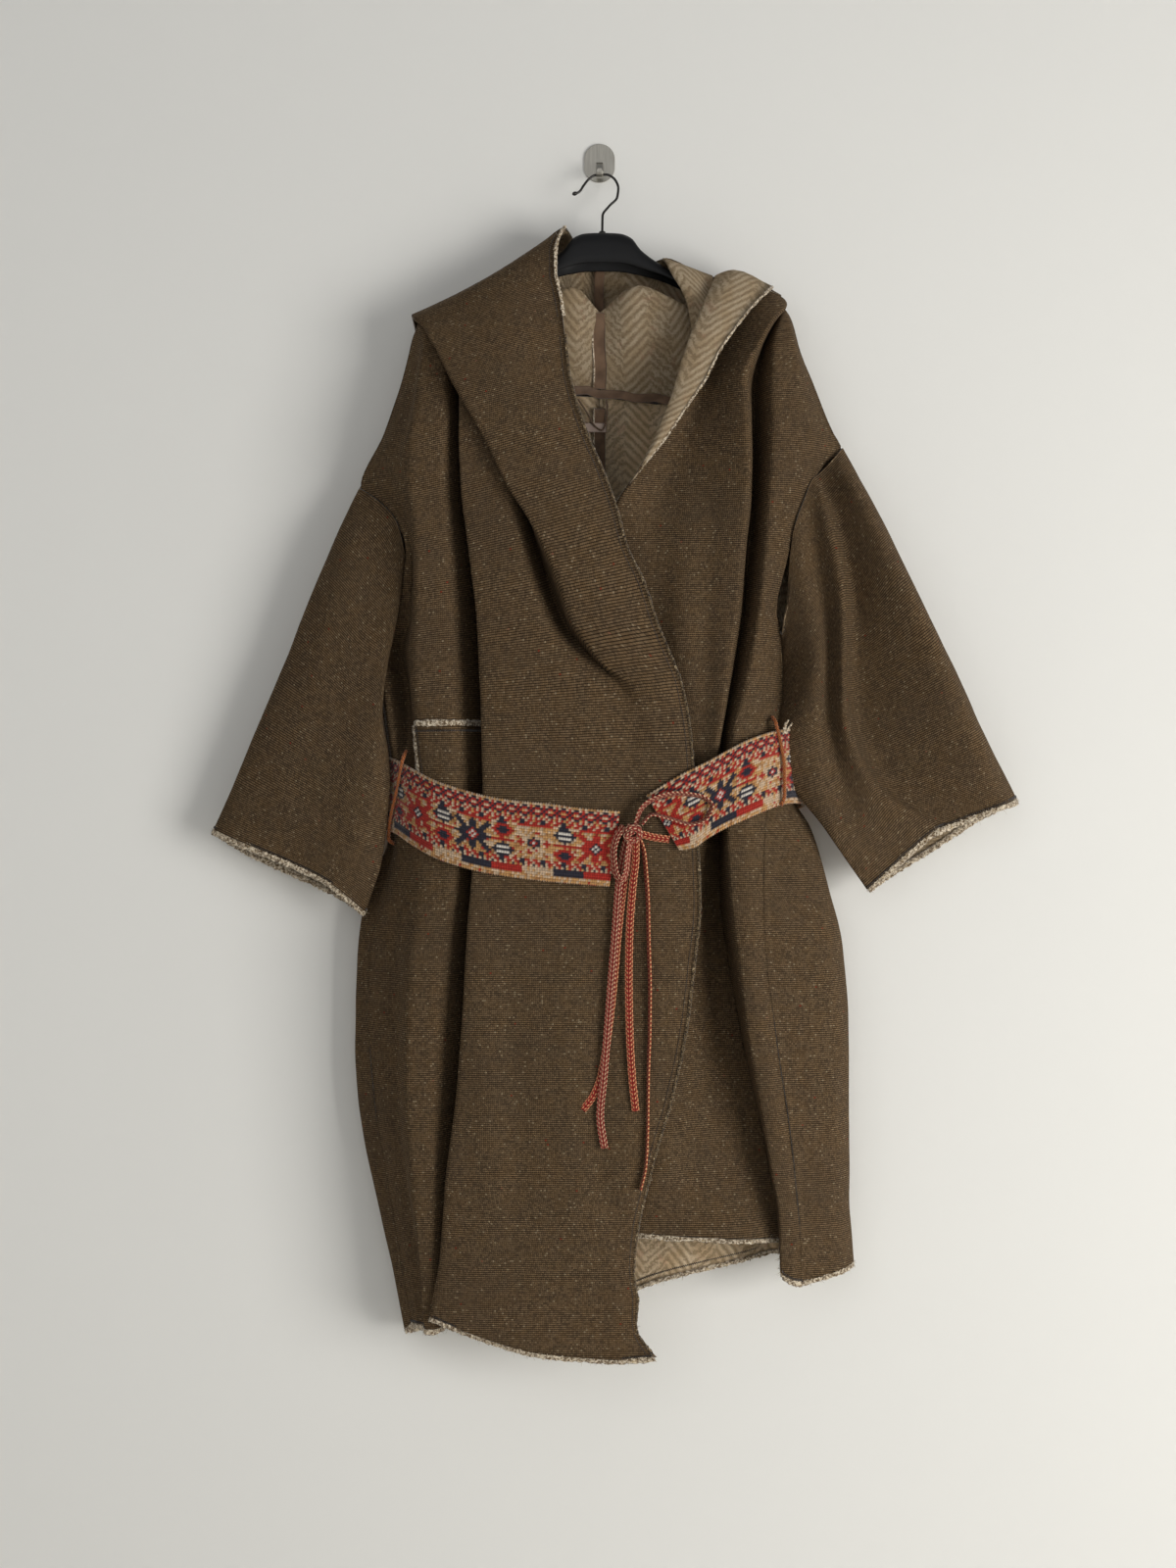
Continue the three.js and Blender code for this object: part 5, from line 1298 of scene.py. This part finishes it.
def make_pocket(front):
    """The patch pocket follows the front between two folds and lies on it."""
    columns = body_grid(FRONT_RIGHT)[1]
    first, last = columns[POCKET["from"]] - 1, columns[POCKET["to"]] - 2
    panel = front[:, first:last]
    height = panel[:, 0, 2]
    rows = (height <= POCKET["top"]) & (height >= POCKET["bottom"])
    lift = CLOTH / 2 + POCKET["gap"] + POCKET["thick"] / 2
    grid = (panel - normals_of(front)[:, first:last] * lift)[rows]
    uv = grain_uv(grid, 0)
    piece = cloth_piece(
        "pocket_cloth", grid, uv, LINING, WEAVE, EDGE, "coat_cloth", ["pocket"], thick=POCKET["thick"]
    )
    declare_cloth(grid)
    face = -normals_of(grid)
    raw_edge("pocket_top", grid[0], grid[1], face[0])
    raw_edge("pocket_side", grid[:, 0], grid[:, 1], face[:, 0])


def hood_piece(name, node, table, sides, slot, down, seed):
    """A stretch of the hood between two of its folds."""
    grid = column_grid(table, down, 7)
    grid = grid + normals_of(grid) * (wavy(grid, 45, seed) * 1.4)[..., None]
    uv = np.stack([lengths_across(grid), lengths_down(grid)], axis=-1)
    piece = cloth_piece(name, grid, uv, *sides, EDGE, slot, [node])
    declare_cloth(grid)


def make_hood():
    """The hood's five stretches: two linings, two halves of its bag and a fold that has fallen forward."""
    front, back = (WEAVE, LINING), (LINING, WEAVE)
    hood_piece("hood_right_lining", "hood_right_inner", HOOD_RIGHT_INNER, front, "lining_side", 6, 5)
    hood_piece("hood_left_lining", "hood_left_inner", HOOD_LEFT_INNER, back, "lining_side", 6, 6)
    hood_piece("hood_right_bag", "hood_right_outer", HOOD_RIGHT_OUTER, back, "coat_cloth", 8, 7)
    hood_piece("hood_left_bag", "hood_left_outer", HOOD_LEFT_OUTER, front, "coat_cloth", 8, 8)
    hood_piece("hood_left_fold", "hood_left_flap", HOOD_FLAP, front, "lining_side", 5, 9)


# ------------------------------------------------------------------ tapes and what is in the neck
TAPE_CROWN, TAPE_PUCKER = 0.7, 0.5  # how far a tape stands up along its middle, and in puckers


def tape_strip(name, node, line, width, seed):
    """Satin tape laid flat along a line, facing the front, with small puckers and turned edges."""
    line = through(line, 14)
    along = unit(np.gradient(line, axis=0))
    side = unit(np.cross(along, FRONTWARD))
    share = np.linspace(-0.5, 0.5, 9)
    grid = line[:, None] + side[:, None] * (share * width)[None, :, None]
    crown = TAPE_CROWN * (1 - (2 * share) ** 2)
    pucker = wavy(grid, 9, seed) * TAPE_PUCKER + crown[None, :]
    grid = grid + FRONTWARD * pucker[..., None]
    uv = np.stack([lengths_across(grid), lengths_down(grid)], axis=-1)
    piece = cloth_piece(name, grid, uv, SATIN, SATIN, SATIN, "tape", [node], thick=1.0)
    declare_cloth(grid)
    return grid


# Lines down the middle of the tapes, in rows of [x, y, z].
TAPES = {
  "neck": [
    [-62, -50.2, -282], [-38, -50.2, -285], [-16, -50.4, -284.5], [0, -50.4, -289.5], [24, -51, -290],
    [44, -50.2, -294], [66, -51, -293.5], [82, -50, -297], [100, -49.6, -299],
  ],
  "hood": [[0, -49.6, -283], [1, -54.6, -262], [-1, -58.4, -226], [0, -54, -193]],
  "back": [
    [0, -43.6, -305], [0, -33, -339], [0, -29, -380], [0, -26, -430], [0, -25, -478], [0, -24, -545],
  ],
}
PIPING = 1.1  # radius of the cream piping down the middle tapes' edge
TAPE_BEHIND = [[1, -27, -130], [-1, -20, -160], [0, -15, -205]]
LABEL = {"left": -22, "right": 8, "top": -322, "bottom": -333, "y": -39.4, "thick": 0.8}


def make_tapes():
    """Tapes over the seams, with piping beside the two in the middle."""
    tape_strip("tape_neck_satin", "tape_neck", TAPES["neck"], 10, 21)
    hood_tape = tape_strip("tape_hood_satin", "tape_hood", TAPES["hood"], 14, 22)
    back_tape = tape_strip("tape_back_satin", "tape_back", TAPES["back"], 13, 23)
    rings = tube_rings(through(TAPE_BEHIND, 8), (6, 0.6), 12, square=0.6)
    bar_piece("tape_behind", rings, SATIN, uv=tube_uv(rings))
    for name, tape in (("hood", hood_tape), ("back", back_tape)):
        edge = tape[:, 0] if tape[0, 0, 0] < tape[0, -1, 0] else tape[:, -1]
        rings = tube_rings(edge + [-0.6, -0.4, 0], (PIPING, PIPING), 8)
        bar_piece("piping_" + name, rings, FLUFF)


def make_hanging_loop():
    """The loop that the coat hangs by."""
    cord = thread("hanging_cord", rgb(122, 98, 76), rgb(78, 60, 46), 2.4)
    rings = tube_rings(through(HANG_LOOP, 10), (1.15, 1.15), 10)
    bar_piece("hanging_loop_cord", rings, cord, ["hanging_loop"], tube_uv(rings))


def make_label():
    """A bare label."""
    x = np.linspace(LABEL["left"], LABEL["right"], 16)
    z = np.linspace(LABEL["top"], LABEL["bottom"], 7)
    grid = np.stack(np.broadcast_arrays(x[None, :], LABEL["y"], z[:, None]), axis=-1)
    grid[..., 1] += 0.5 * np.sin(grid[..., 0] / 5)
    paint = ribbon()
    uv = grid[..., [0, 2]]
    piece = cloth_piece(
        "label_ribbon", grid, uv, paint, paint, paint, "label", ["label"], thick=LABEL["thick"]
    )
    declare_cloth(grid)


# ------------------------------------------------------------------ belt
# One repeat of the pattern, charted row by row from its top edge: three motifs of 24 stitches.
# t tan, c cream, r red, n navy, w white.
STAR = [
    "trtttttrtttttrt", "rrrtttrrrtttrrr", "trrrttrrrttrrrt", "ttrrrtrrrtrrrtt", "tttrrrrnrrrrttt",
    "ttrrrrnwnrrrrtt", "rrrrrnwnwnrrrrr", "ttrrrrnwnrrrrtt", "tttrrrrnrrrrttt", "ttrrrtrrrtrrrtt",
    "trrrttrrrttrrrt", "rrrtttrrrtttrrr", "trtttttrtttttrt",
]
LATTICE = [
    "tttttttctttctct", "cttttctcttctttc", "tctcttrtctcttct", "ttctttcctttctct", "ttttcccnccctttt",
    "ttrccnnrnnccrtt", "trrrcnrwrncrrrt", "ttrccnnrnnccrtt", "ttttcccnccctttt", "tctctttcctttctt",
    "tcttctctrttctct", "ctttcttctcttttc", "tctctttctttttct",
]
OVALS = [
    "ttnnnnntt", "tnwwwwwnt", "nnnnnnnnn", "tnwwwwwnt", "ttnnnnntt", "ttttntttt", "rrrrrrrrr",
    "ttttrtttt", "ttrrrrrtt", "trrnnnrrt", "rrnnnnnrr", "trrnnnrrt", "ttrrrrrtt",
]
CROSSES = ["ncrcn", "rnrnr", "crnrc", "rnrnr", "ncrcn"]
STEPS = ["rrcnnrrc", "crrnncrr"]
COLOURS = {
    "t": rgb(206, 156, 98), "c": rgb(218, 190, 158), "r": rgb(180, 44, 34), "n": rgb(36, 42, 56),
    "w": rgb(228, 220, 208), "b": rgb(176, 124, 74),
}
# What stitches of each colour are really worked in, by chance: some of the tan ones in cream or brown.
MIXED = {"t": "ttttttttccccbbr", "c": "cccccccctt", "n": "n", "r": "r", "w": "w"}
STITCH = 3.0  # width of a stitch
BELT_FRONT, BELT_BACK = 1.6, 1.4  # how far the belt's two faces are from its middle
# How far a stitch stands up at its peak and sinks at its corners, how uneven that is, how far it leans
# along the belt, and how far the loops at the belt's edges stand out.
RELIEF = {"peak": 1.1, "corner": 0.7, "uneven": 0.4, "lean": 0.6, "loop": 1.3}
# How bright a stitch is, at random, and the painted highlight at its peak and painted shade at its side and
# corner that it is multiplied by.
SHADE, PEAK_SHADE, SIDE_SHADE, CORNER_SHADE = (0.72, 1.22), 1.12, 0.72, 0.42


def swap(rows, old, new):
    """The rows of a chart with two colours exchanged."""
    return [row.translate(str.maketrans(old, new)) for row in rows]


def belt_chart():
    """The chart's rows. A row shorter than the others just repeats sooner."""
    navy_star = swap(STAR, "rn", "nr")
    motifs = [(STAR, OVALS), (LATTICE, OVALS[::-1]), (navy_star, OVALS)]
    centre = ["".join(a[i] + b[i] for a, b in motifs) for i in range(13)]
    bars = "rrrrrrrrrrrrrrccccnnnncc"
    blocks = "r" * 12 + "n" * 12 + "c" * 12
    top = ["tc", *CROSSES, "rc", *STEPS, bars]
    return [*top, *centre, *STEPS[::-1], "crcn", blocks, blocks, blocks, "tc", "t"]


def belt_grid():
    """Points at every half stitch along the belt and across it, and the directions that it faces."""
    belt = np.array(BELT, float)
    top_line = through(belt[:, [0, 1, 2]], 24)
    bottom_line = through(np.column_stack([belt[:, 0] + belt[:, 4], belt[:, 1], belt[:, 3]]), 24)
    at = distance_along((top_line + bottom_line) / 2)
    where = np.linspace(0, at[-1], 2 * int(at[-1] / STITCH) + 1)
    top, bottom = resample(top_line, at, where), resample(bottom_line, at, where)
    share = np.linspace(0, 1, 2 * len(belt_chart()) + 1)[:, None, None]
    grid = top[None] * (1 - share) + bottom[None] * share
    normals = normals_of(grid)
    return grid, normals if normals[0, 5, 1] < 0 else -normals


def chart_tints(chart, rows, cols):
    """Each point's colour."""
    tints = np.empty((rows, cols, 4))
    for i in range((rows + 1) // 2):
        row = chart[min(i, len(chart) - 1)]
        for j in range((cols + 1) // 2):
            colour = COLOURS[random.choice(MIXED[row[j % len(row)]])]
            tints[2 * i:2 * i + 2, 2 * j:2 * j + 2] = colour
    return tints


def make_belt():
    """The belt in raised stitches, each one tinted from the chart with a painted highlight on its peak and
    painted shade at its sides and corners, on a flat back.
    """
    grid, out = belt_grid()
    rows, cols = grid.shape[:2]
    r, c = np.meshgrid(np.arange(rows), np.arange(cols), indexing="ij")
    peak, corner = (r % 2) * (c % 2), (1 - r % 2) * (1 - c % 2)
    lean = unit(np.gradient(grid, axis=1)) * (RELIEF["lean"] * peak * np.where(r % 4 < 2, 1, -1))[..., None]
    raised = RELIEF["peak"] * peak - RELIEF["corner"] * corner + RELIEF["uneven"] * wavy(grid, 2.2, 31)
    down = unit(np.gradient(grid, axis=0))
    loops = RELIEF["loop"] * (c % 2) * np.where(r == rows - 1, 1, np.where(r == 0, -1, 0))
    outer = grid + out * (BELT_FRONT + raised)[..., None] + lean + down * loops[..., None]
    inner = grid - out * BELT_BACK
    tints = chart_tints(belt_chart(), rows, cols)
    # painted highlight on each stitch's peak and painted shade on its sides and corners, times a random
    # tone
    shade = np.where(peak == 1, PEAK_SHADE, np.where(corner == 1, CORNER_SHADE, SIDE_SHADE))
    tints[..., :3] *= (RNG.uniform(*SHADE, (rows, cols)) * shade)[..., None]
    count = rows * cols
    index = np.arange(count).reshape(rows, cols)
    faces = grid_quads(rows, cols).tolist() + grid_quads(rows, cols, start=count, flip=True).tolist()
    for line, turn in ((index[0], True), (index[-1], False), (index[:, 0], False), (index[:, -1], True)):
        quads = np.stack([line[:-1], line[1:], line[1:] + count, line[:-1] + count], axis=1)
        faces += (quads if turn else quads[:, ::-1]).tolist()
    points = np.concatenate([outer.reshape(-1, 3), inner.reshape(-1, 3)])
    tints = np.concatenate([tints.reshape(-1, 4)] * 2)
    piece = mesh_piece("belt_knit", points, faces, [stitched()], ["belt"], colour=tints)
    recalculate(piece)
    declare_cloth(grid[::2, ::2])


# ------------------------------------------------------------------ tie, loops of thread
# How far a braid is turned edge-on along its route, from its first point to its last, in degrees.
TURNED = {
    "tie_strand_right": (10, 10), "tie_strand_left": (10, 20), "tie_loop_bow": (55, 75),
    "tie_loop_small": (25, 50), "tie_tail_a": (15, 5), "tie_tail_b": (20, 0), "tie_tail_c": (10, 5),
    "tie_tail_d": (60, 82),
}
BRAID_SIDES = 16
BRAID_SQUARE = 0.55  # how much like a rectangle a braid's section is: 1 is an oval
BRAID_UNEVEN = 0.05  # how much a braid swells and narrows along itself
BRAIDS_IN_RED = ("tie_tail_b", "tie_tail_c", "tie_tail_d", "tie_strand_left")
KNOT_LINE = [
    [31, -154, -804], [44, -157, -806], [45, -153, -816], [34, -150, -819], [29, -154, -811],
    [36, -158, -805], [46, -154, -812], [38, -151, -820], [30, -156, -815], [38, -159, -809],
]


def braid_piece(name, route, paint):
    """A flat braid through its route; returns the piece and the line that it follows."""
    line = through(route, 12)
    along = unit(np.gradient(line, axis=0))
    turn = np.radians(np.linspace(*TURNED[name], len(line)))[:, None]
    side = unit(np.cross(along, FRONTWARD))
    facing = unit(np.cross(side, along)) * np.cos(turn) + side * np.sin(turn)
    size = (BRAID["width"] / 2, BRAID["thick"] / 2)
    rings = tube_rings(line, size, BRAID_SIDES, facing, BRAID_SQUARE)
    uneven = 1 + BRAID_UNEVEN * np.sin(np.arange(len(line)) * 1.9)
    rings = line[:, None] + (rings - line[:, None]) * uneven[:, None, None]
    return bar_piece(name + "_braid", rings, paint, [name], flat_uv(line)), line


def flat_uv(line):
    """u from one edge of a flat braid to the other, the same on both faces, and v along it."""
    across = np.cos(np.arange(BRAID_SIDES) * 2 * np.pi / BRAID_SIDES)
    u = np.sign(across) * np.abs(across) ** BRAID_SQUARE * BRAID["width"] / 2
    return ring_uv(u, distance_along(line))


def make_tie():
    """The knot, two strands to it, two loops and four hanging ends of the braid."""
    red = braid_paint("braid_red", rgb(146, 38, 30), rgb(226, 170, 122), 2.9)
    pink = braid_paint("braid_pink", rgb(138, 50, 42), rgb(216, 180, 146), 1.4)
    rings = tube_rings(through(KNOT_LINE, 9), (3.6, 1.7), 14)
    bar_piece("tie_knot_braid", rings, pink, ["tie_knot"], tube_uv(rings))
    for name, route in BRAIDS.items():
        piece, line = braid_piece(name, route, red if name in BRAIDS_IN_RED else pink)
        if "strand" in name:
            continue


TUFT = [
    [[216, -108, -696], [217, -111, -688], [220, -113, -680]],
    [[217, -108, -696], [220, -110, -690], [225, -111, -684]],
    [[215, -108, -696], [215, -111, -689], [217, -112, -683]],
]
# The two plies of a belt loop's thread: their radius, how far they are from its middle, and their pitch.
PLY = {"radius": 1.35, "offset": 1.25, "pitch": 8}


def make_belt_loops():
    """Two-ply thread loops that carry the belt, and a tuft of cut yarn at the belt's left end."""
    for i, route in enumerate(TUFT, 1):
        bar_piece(f"belt_tuft_{i}", tube_rings(through(route, 6), (1.1, 0.8), 8), FLUFF)
    paint = thread("loop_thread", rgb(180, 102, 44), rgb(98, 50, 20), 1.6, 0.5)
    for name, route in BELT_LOOPS.items():
        line = through(route, 14)
        along = unit(np.gradient(line, axis=0))
        side = unit(np.cross(along, [0, -1, 0.1]))
        up = unit(np.cross(side, along))
        for ply in (0, 1):
            turn = (2 * np.pi * distance_along(line) / PLY["pitch"] + math.pi * ply)[:, None]
            path = line + (side * np.cos(turn) + up * np.sin(turn)) * PLY["offset"]
            rings = tube_rings(path, (PLY["radius"], PLY["radius"]), 10)
            bar_piece(f"{name}_ply_{ply + 1}", rings, paint, [name], tube_uv(rings))


# ------------------------------------------------------------------ hanger and wall hook
HUB_X = 3  # the hanger's middle
# Half of the hanger's bar: each row is [distance from the hub, top z, front lower edge z].
HANGER_BAR = [
  [0, -97, -134], [20, -98, -134.5], [34, -103, -137], [46, -118, -141], [70, -136, -149],
  [100, -154, -163], [153, -181, -195], [196, -204, -220], [209, -212, -222],
]
HANGER_FRONT, HANGER_BACK = -64, -35
# Round the bar's section from its lower front edge: [depth from -1 in front to 1 behind, height from 0 at
# the lower edge to 1 at the top]. The last seven points are the hollow underside.
HANGER_SECTION = [
  (-1, 0.0), (-1.0, 0.25), (-0.98, 0.6), (-0.86, 0.85), (-0.6, 0.97), (-0.2, 1), (0.2, 1), (0.6, 0.97),
  (0.86, 0.85), (0.98, 0.6), (1, 0.2), (1, -0.13), (0.93, -0.15), (0.86, -0.1), (0.8, 0.25),
  (0.4, 0.42), (-0.4, 0.42), (-0.8, 0.3), (-0.86, 0.02), (-0.93, -0.02),
]
BAR_END = {"length": 14, "thin": 0.35}  # over what length the bar thins out at its ends, and how far
WIRE_RADIUS = 1.5
WIRE_BALL = [1.6, 2.0, 2.35, 2.5, 2.5, 2.4, 2.1, 1.5, 0.5]  # the wire's radii at its last points
WIRE_FACING = [0.2, -1.0, 0.3]
COLLAR = {"heights": [-98.4, -95.4, -94.6], "radii": [4.2, 3.9, 3.1]}
WIRE_LEAN = {"topZ": -19, "topY": -24, "footZ": -96.2, "footY": -50}
WIRE_ROUTE = [
  [3, -96.2], [3.5, -74], [11, -62], [21, -50], [22.5, -38], [18, -26], [8, -20], [-4, -20.5],
  [-13, -26], [-19, -34], [-25, -43], [-33, -46],
]
TONGUE_LINE = [[-2.5, 0], [-9, -4], [-13, -14], [-17, -20.8], [-24, -23.5], [-30, -20.8], [-32, -14]]
PLATE = {"width": 37, "height": 47, "thick": 1.6}
TONGUE = {"width": 8, "thick": 1.5}


def bevelled(obj, width):
    """Rounds a piece's hard edges, and leaves no modifier on it."""
    bevel = obj.modifiers.new("bevel", "BEVEL")
    bevel.width = width * MM
    bevel.segments = 3
    bevel.limit_method = "ANGLE"
    bevel.angle_limit = math.radians(35)
    bpy.context.view_layer.update()
    mesh = bpy.data.meshes.new_from_object(obj.evaluated_get(bpy.context.evaluated_depsgraph_get()))
    obj.modifiers.clear()
    obj.data = mesh


def hanger_rings():
    """Sections of the bar from one end to the other, which round off and thin out at both ends."""
    half = np.array(HANGER_BAR, float)
    reach = half[-1, 0]
    at = np.concatenate([np.linspace(0, 70, 24), np.linspace(73, reach, 36)])
    shape = smooth_curve(half[:, 0], half[:, 1:], at)
    stations = [(-d, *s) for d, s in zip(at[:0:-1], shape[:0:-1])] + [(d, *s) for d, s in zip(at, shape)]
    middle, depth = (HANGER_FRONT + HANGER_BACK) / 2, (HANGER_BACK - HANGER_FRONT) / 2
    rings = []
    for d, top, low in stations:
        thin = min(1.0, (reach - abs(d)) / BAR_END["length"] + BAR_END["thin"]) ** 0.5
        ring = [(HUB_X + d, middle + depth * thin * s, low + (top - low) * t) for s, t in HANGER_SECTION]
        rings.append(ring)
    return np.array(rings)


def make_hanger():
    """The bar: a rounded top, a hollow underside and a lip all round; the wire with its ball end."""
    bar = bar_piece("hanger_body", hanger_rings(), moulded(), ["hanger_bar"])
    recalculate(bar)
    lean = (WIRE_LEAN["footY"] - WIRE_LEAN["topY"]) / (WIRE_LEAN["footZ"] - WIRE_LEAN["topZ"])
    route = [[x, WIRE_LEAN["topY"] + lean * (z - WIRE_LEAN["topZ"]), z] for x, z in WIRE_ROUTE]
    line = through(route, 12)
    radius = np.full((len(line), 2), WIRE_RADIUS)
    radius[-len(WIRE_BALL):] = np.array(WIRE_BALL)[:, None]
    rings = tube_rings(line, radius, 16, unit(np.array(WIRE_FACING)))
    wire = metal("wire_dark", rgb(70, 68, 66), 0.35, (1, 1, 1), 0.1)
    bar_piece("hanger_wire", rings, wire, ["hanger_hook"])
    middle = [[HUB_X, WIRE_LEAN["footY"], z] for z in COLLAR["heights"]]
    collar = tube_rings(middle, [[r, r] for r in COLLAR["radii"]], 24)
    bar_piece("hanger_collar", collar, wire)


def make_wall_hook():
    """A stadium plate and the tongue bent out of it, both brushed."""
    steel = metal("brushed_plate", rgb(176, 172, 162), 0.36, (1, 1, 0.04), 0.2)
    radius = PLATE["width"] / 2
    straight = PLATE["height"] / 2 - radius
    angles = np.linspace(0, 2 * np.pi, 64, endpoint=False)
    x = radius * np.cos(angles)
    z = radius * np.sin(angles) + straight * np.where(np.sin(angles) >= 0, 1, -1)
    rings = np.array([np.column_stack([x, np.full(64, y), z]) for y in (0.0, -PLATE["thick"])])
    plate = bar_piece("hook_plate", rings, steel, ["wall_plate"], smooth=False)
    recalculate(plate)
    bevelled(plate, 0.5)
    line = through([[0, y, z] for y, z in TONGUE_LINE], 8)
    along = unit(np.gradient(line, axis=0))
    up = np.cross([1.0, 0, 0], along)
    corners = ((-1, -1), (1, -1), (1, 1), (-1, 1))
    rings = []
    for i, p in enumerate(line):
        narrow = min(1.0, 0.55 + 0.12 * (len(line) - 1 - i))
        w, t = TONGUE["width"] / 2 * narrow, TONGUE["thick"] / 2
        rings.append([p + np.array([sx * w, 0, 0]) + up[i] * (sy * t) for sx, sy in corners])
    tongue = bar_piece("hook_tongue", np.array(rings), steel, ["wall_tongue"])
    recalculate(tongue)
    bevelled(tongue, 0.35)


# ------------------------------------------------------------------ stage, light and camera
CAMERA = {"x": -14, "z": -755, "distance": 2800, "focal_px": 2348}
IMAGE_HEIGHT = 1600  # pixels that the focal length is measured in
SENSOR = 36


def make_camera():
    """The photo's own view: level, and square to the wall."""
    data = bpy.data.cameras.new("camera")
    data.sensor_fit = "VERTICAL"
    data.sensor_height = SENSOR
    data.lens = SENSOR * CAMERA["focal_px"] / IMAGE_HEIGHT
    data.clip_end = 30
    camera = bpy.data.objects.new("camera", data)
    camera.location = Vector((CAMERA["x"], -CAMERA["distance"], CAMERA["z"])) * MM
    camera.rotation_euler = (math.radians(90), 0, 0)
    bpy.context.scene.collection.objects.link(camera)
    bpy.context.scene.camera = camera


def plain_board(name, corners, colour, one_sided=False):
    """A large flat board of the stage. A one-sided board is clear from behind and to light from behind."""
    mesh = bpy.data.meshes.new(name)
    mesh.from_pydata(corners, [], [[0, 1, 2, 3]])
    p = Paint(name, roughness=0.9, Base_Color=colour, Specular_IOR_Level=0.2)
    if one_sided:
        backfacing = p.node("ShaderNodeNewGeometry", out=6)
        shadow_ray = p.node("ShaderNodeLightPath", out=1)
        unseen = p.math("MAXIMUM", backfacing, shadow_ray)
        clear = p.node("ShaderNodeBsdfTransparent")
        mixed = p.node("ShaderNodeMixShader", {0: unseen, 1: p.shader.outputs[0], 2: clear})
        p.put(p.tree.nodes["Material Output"].inputs[0], mixed)
    mesh.materials.append(p.material)
    obj = bpy.data.objects.new(name, mesh)
    bpy.context.scene.collection.objects.link(obj)


def area_light(name, place, aim, size, power, colour):
    """A rectangular light, in metres and watts."""
    data = bpy.data.lights.new(name, "AREA")
    data.shape = "RECTANGLE"
    data.size, data.size_y = size
    data.energy = power
    data.color = colour
    light = bpy.data.objects.new(name, data)
    light.location = place
    light.rotation_euler = (Vector(aim) - Vector(place)).to_track_quat("-Z", "Y").to_euler()
    bpy.context.scene.collection.objects.link(light)


# The stage is in metres.
WALL_Y, FLOOR_Z = 0.001, -2.1
WALL_HALF, WALL_TOP, FLOOR_HALF = 6.0, 3.0, 8
# Each light: its place, what it aims at, its size, its power and its colour.
LIGHTS = {
    "window": ((2.75, -2.55, -1.25), (0, 0, -0.85), (1.8, 2.0), 101, (1.0, 0.985, 0.96)),
    "room": ((-0.9, -3.4, 0.1), (-0.1, -0.1, -0.8), (3.0, 2.4), 18, (1.0, 1.0, 1.0)),
    "rear": ((-0.6, 3.0, 0.2), (0, 0, -0.8), (3.0, 2.4), 45, (1.0, 1.0, 1.0)),
}
SKY = {"colour": (0.95, 0.97, 1.0, 1), "strength": 0.275}


def make_stage():
    """A pale wall that is clear from behind, a pale floor below the view, and soft light from the right."""
    sides = ((-WALL_HALF, 0), (WALL_HALF, 0), (WALL_HALF, 1), (-WALL_HALF, 1))
    wall = [(x, WALL_Y, (FLOOR_Z, WALL_TOP)[end]) for x, end in sides]
    plain_board("wall", wall, rgb(232, 231, 226), one_sided=True)
    floor = [(x, (-FLOOR_HALF, FLOOR_HALF)[end], FLOOR_Z) for x, end in sides]
    plain_board("floor", floor, rgb(214, 211, 205))
    for name, values in LIGHTS.items():
        area_light(name, *values)
    world = bpy.data.worlds.new("world")
    world.use_nodes = True
    world.node_tree.nodes["Background"].inputs[0].default_value = SKY["colour"]
    world.node_tree.nodes["Background"].inputs[1].default_value = SKY["strength"]
    bpy.context.scene.world = world
    bpy.context.scene.view_settings.view_transform = "Standard"


make_camera()
make_tie()
make_stage()
front_right = make_body()
make_sleeve("sleeve_right", SLEEVE_RIGHT, MINUS, 14)
make_sleeve("sleeve_left", SLEEVE_LEFT, PLUS, 15)
make_armhole_seam("right", RIGHT_ARMHOLE)
make_armhole_seam("left", LEFT_ARMHOLE)
make_pocket(front_right)
make_hood()
make_tapes()
make_hanging_loop()
make_label()
make_belt()
make_belt_loops()
make_hanger()
make_wall_hook()
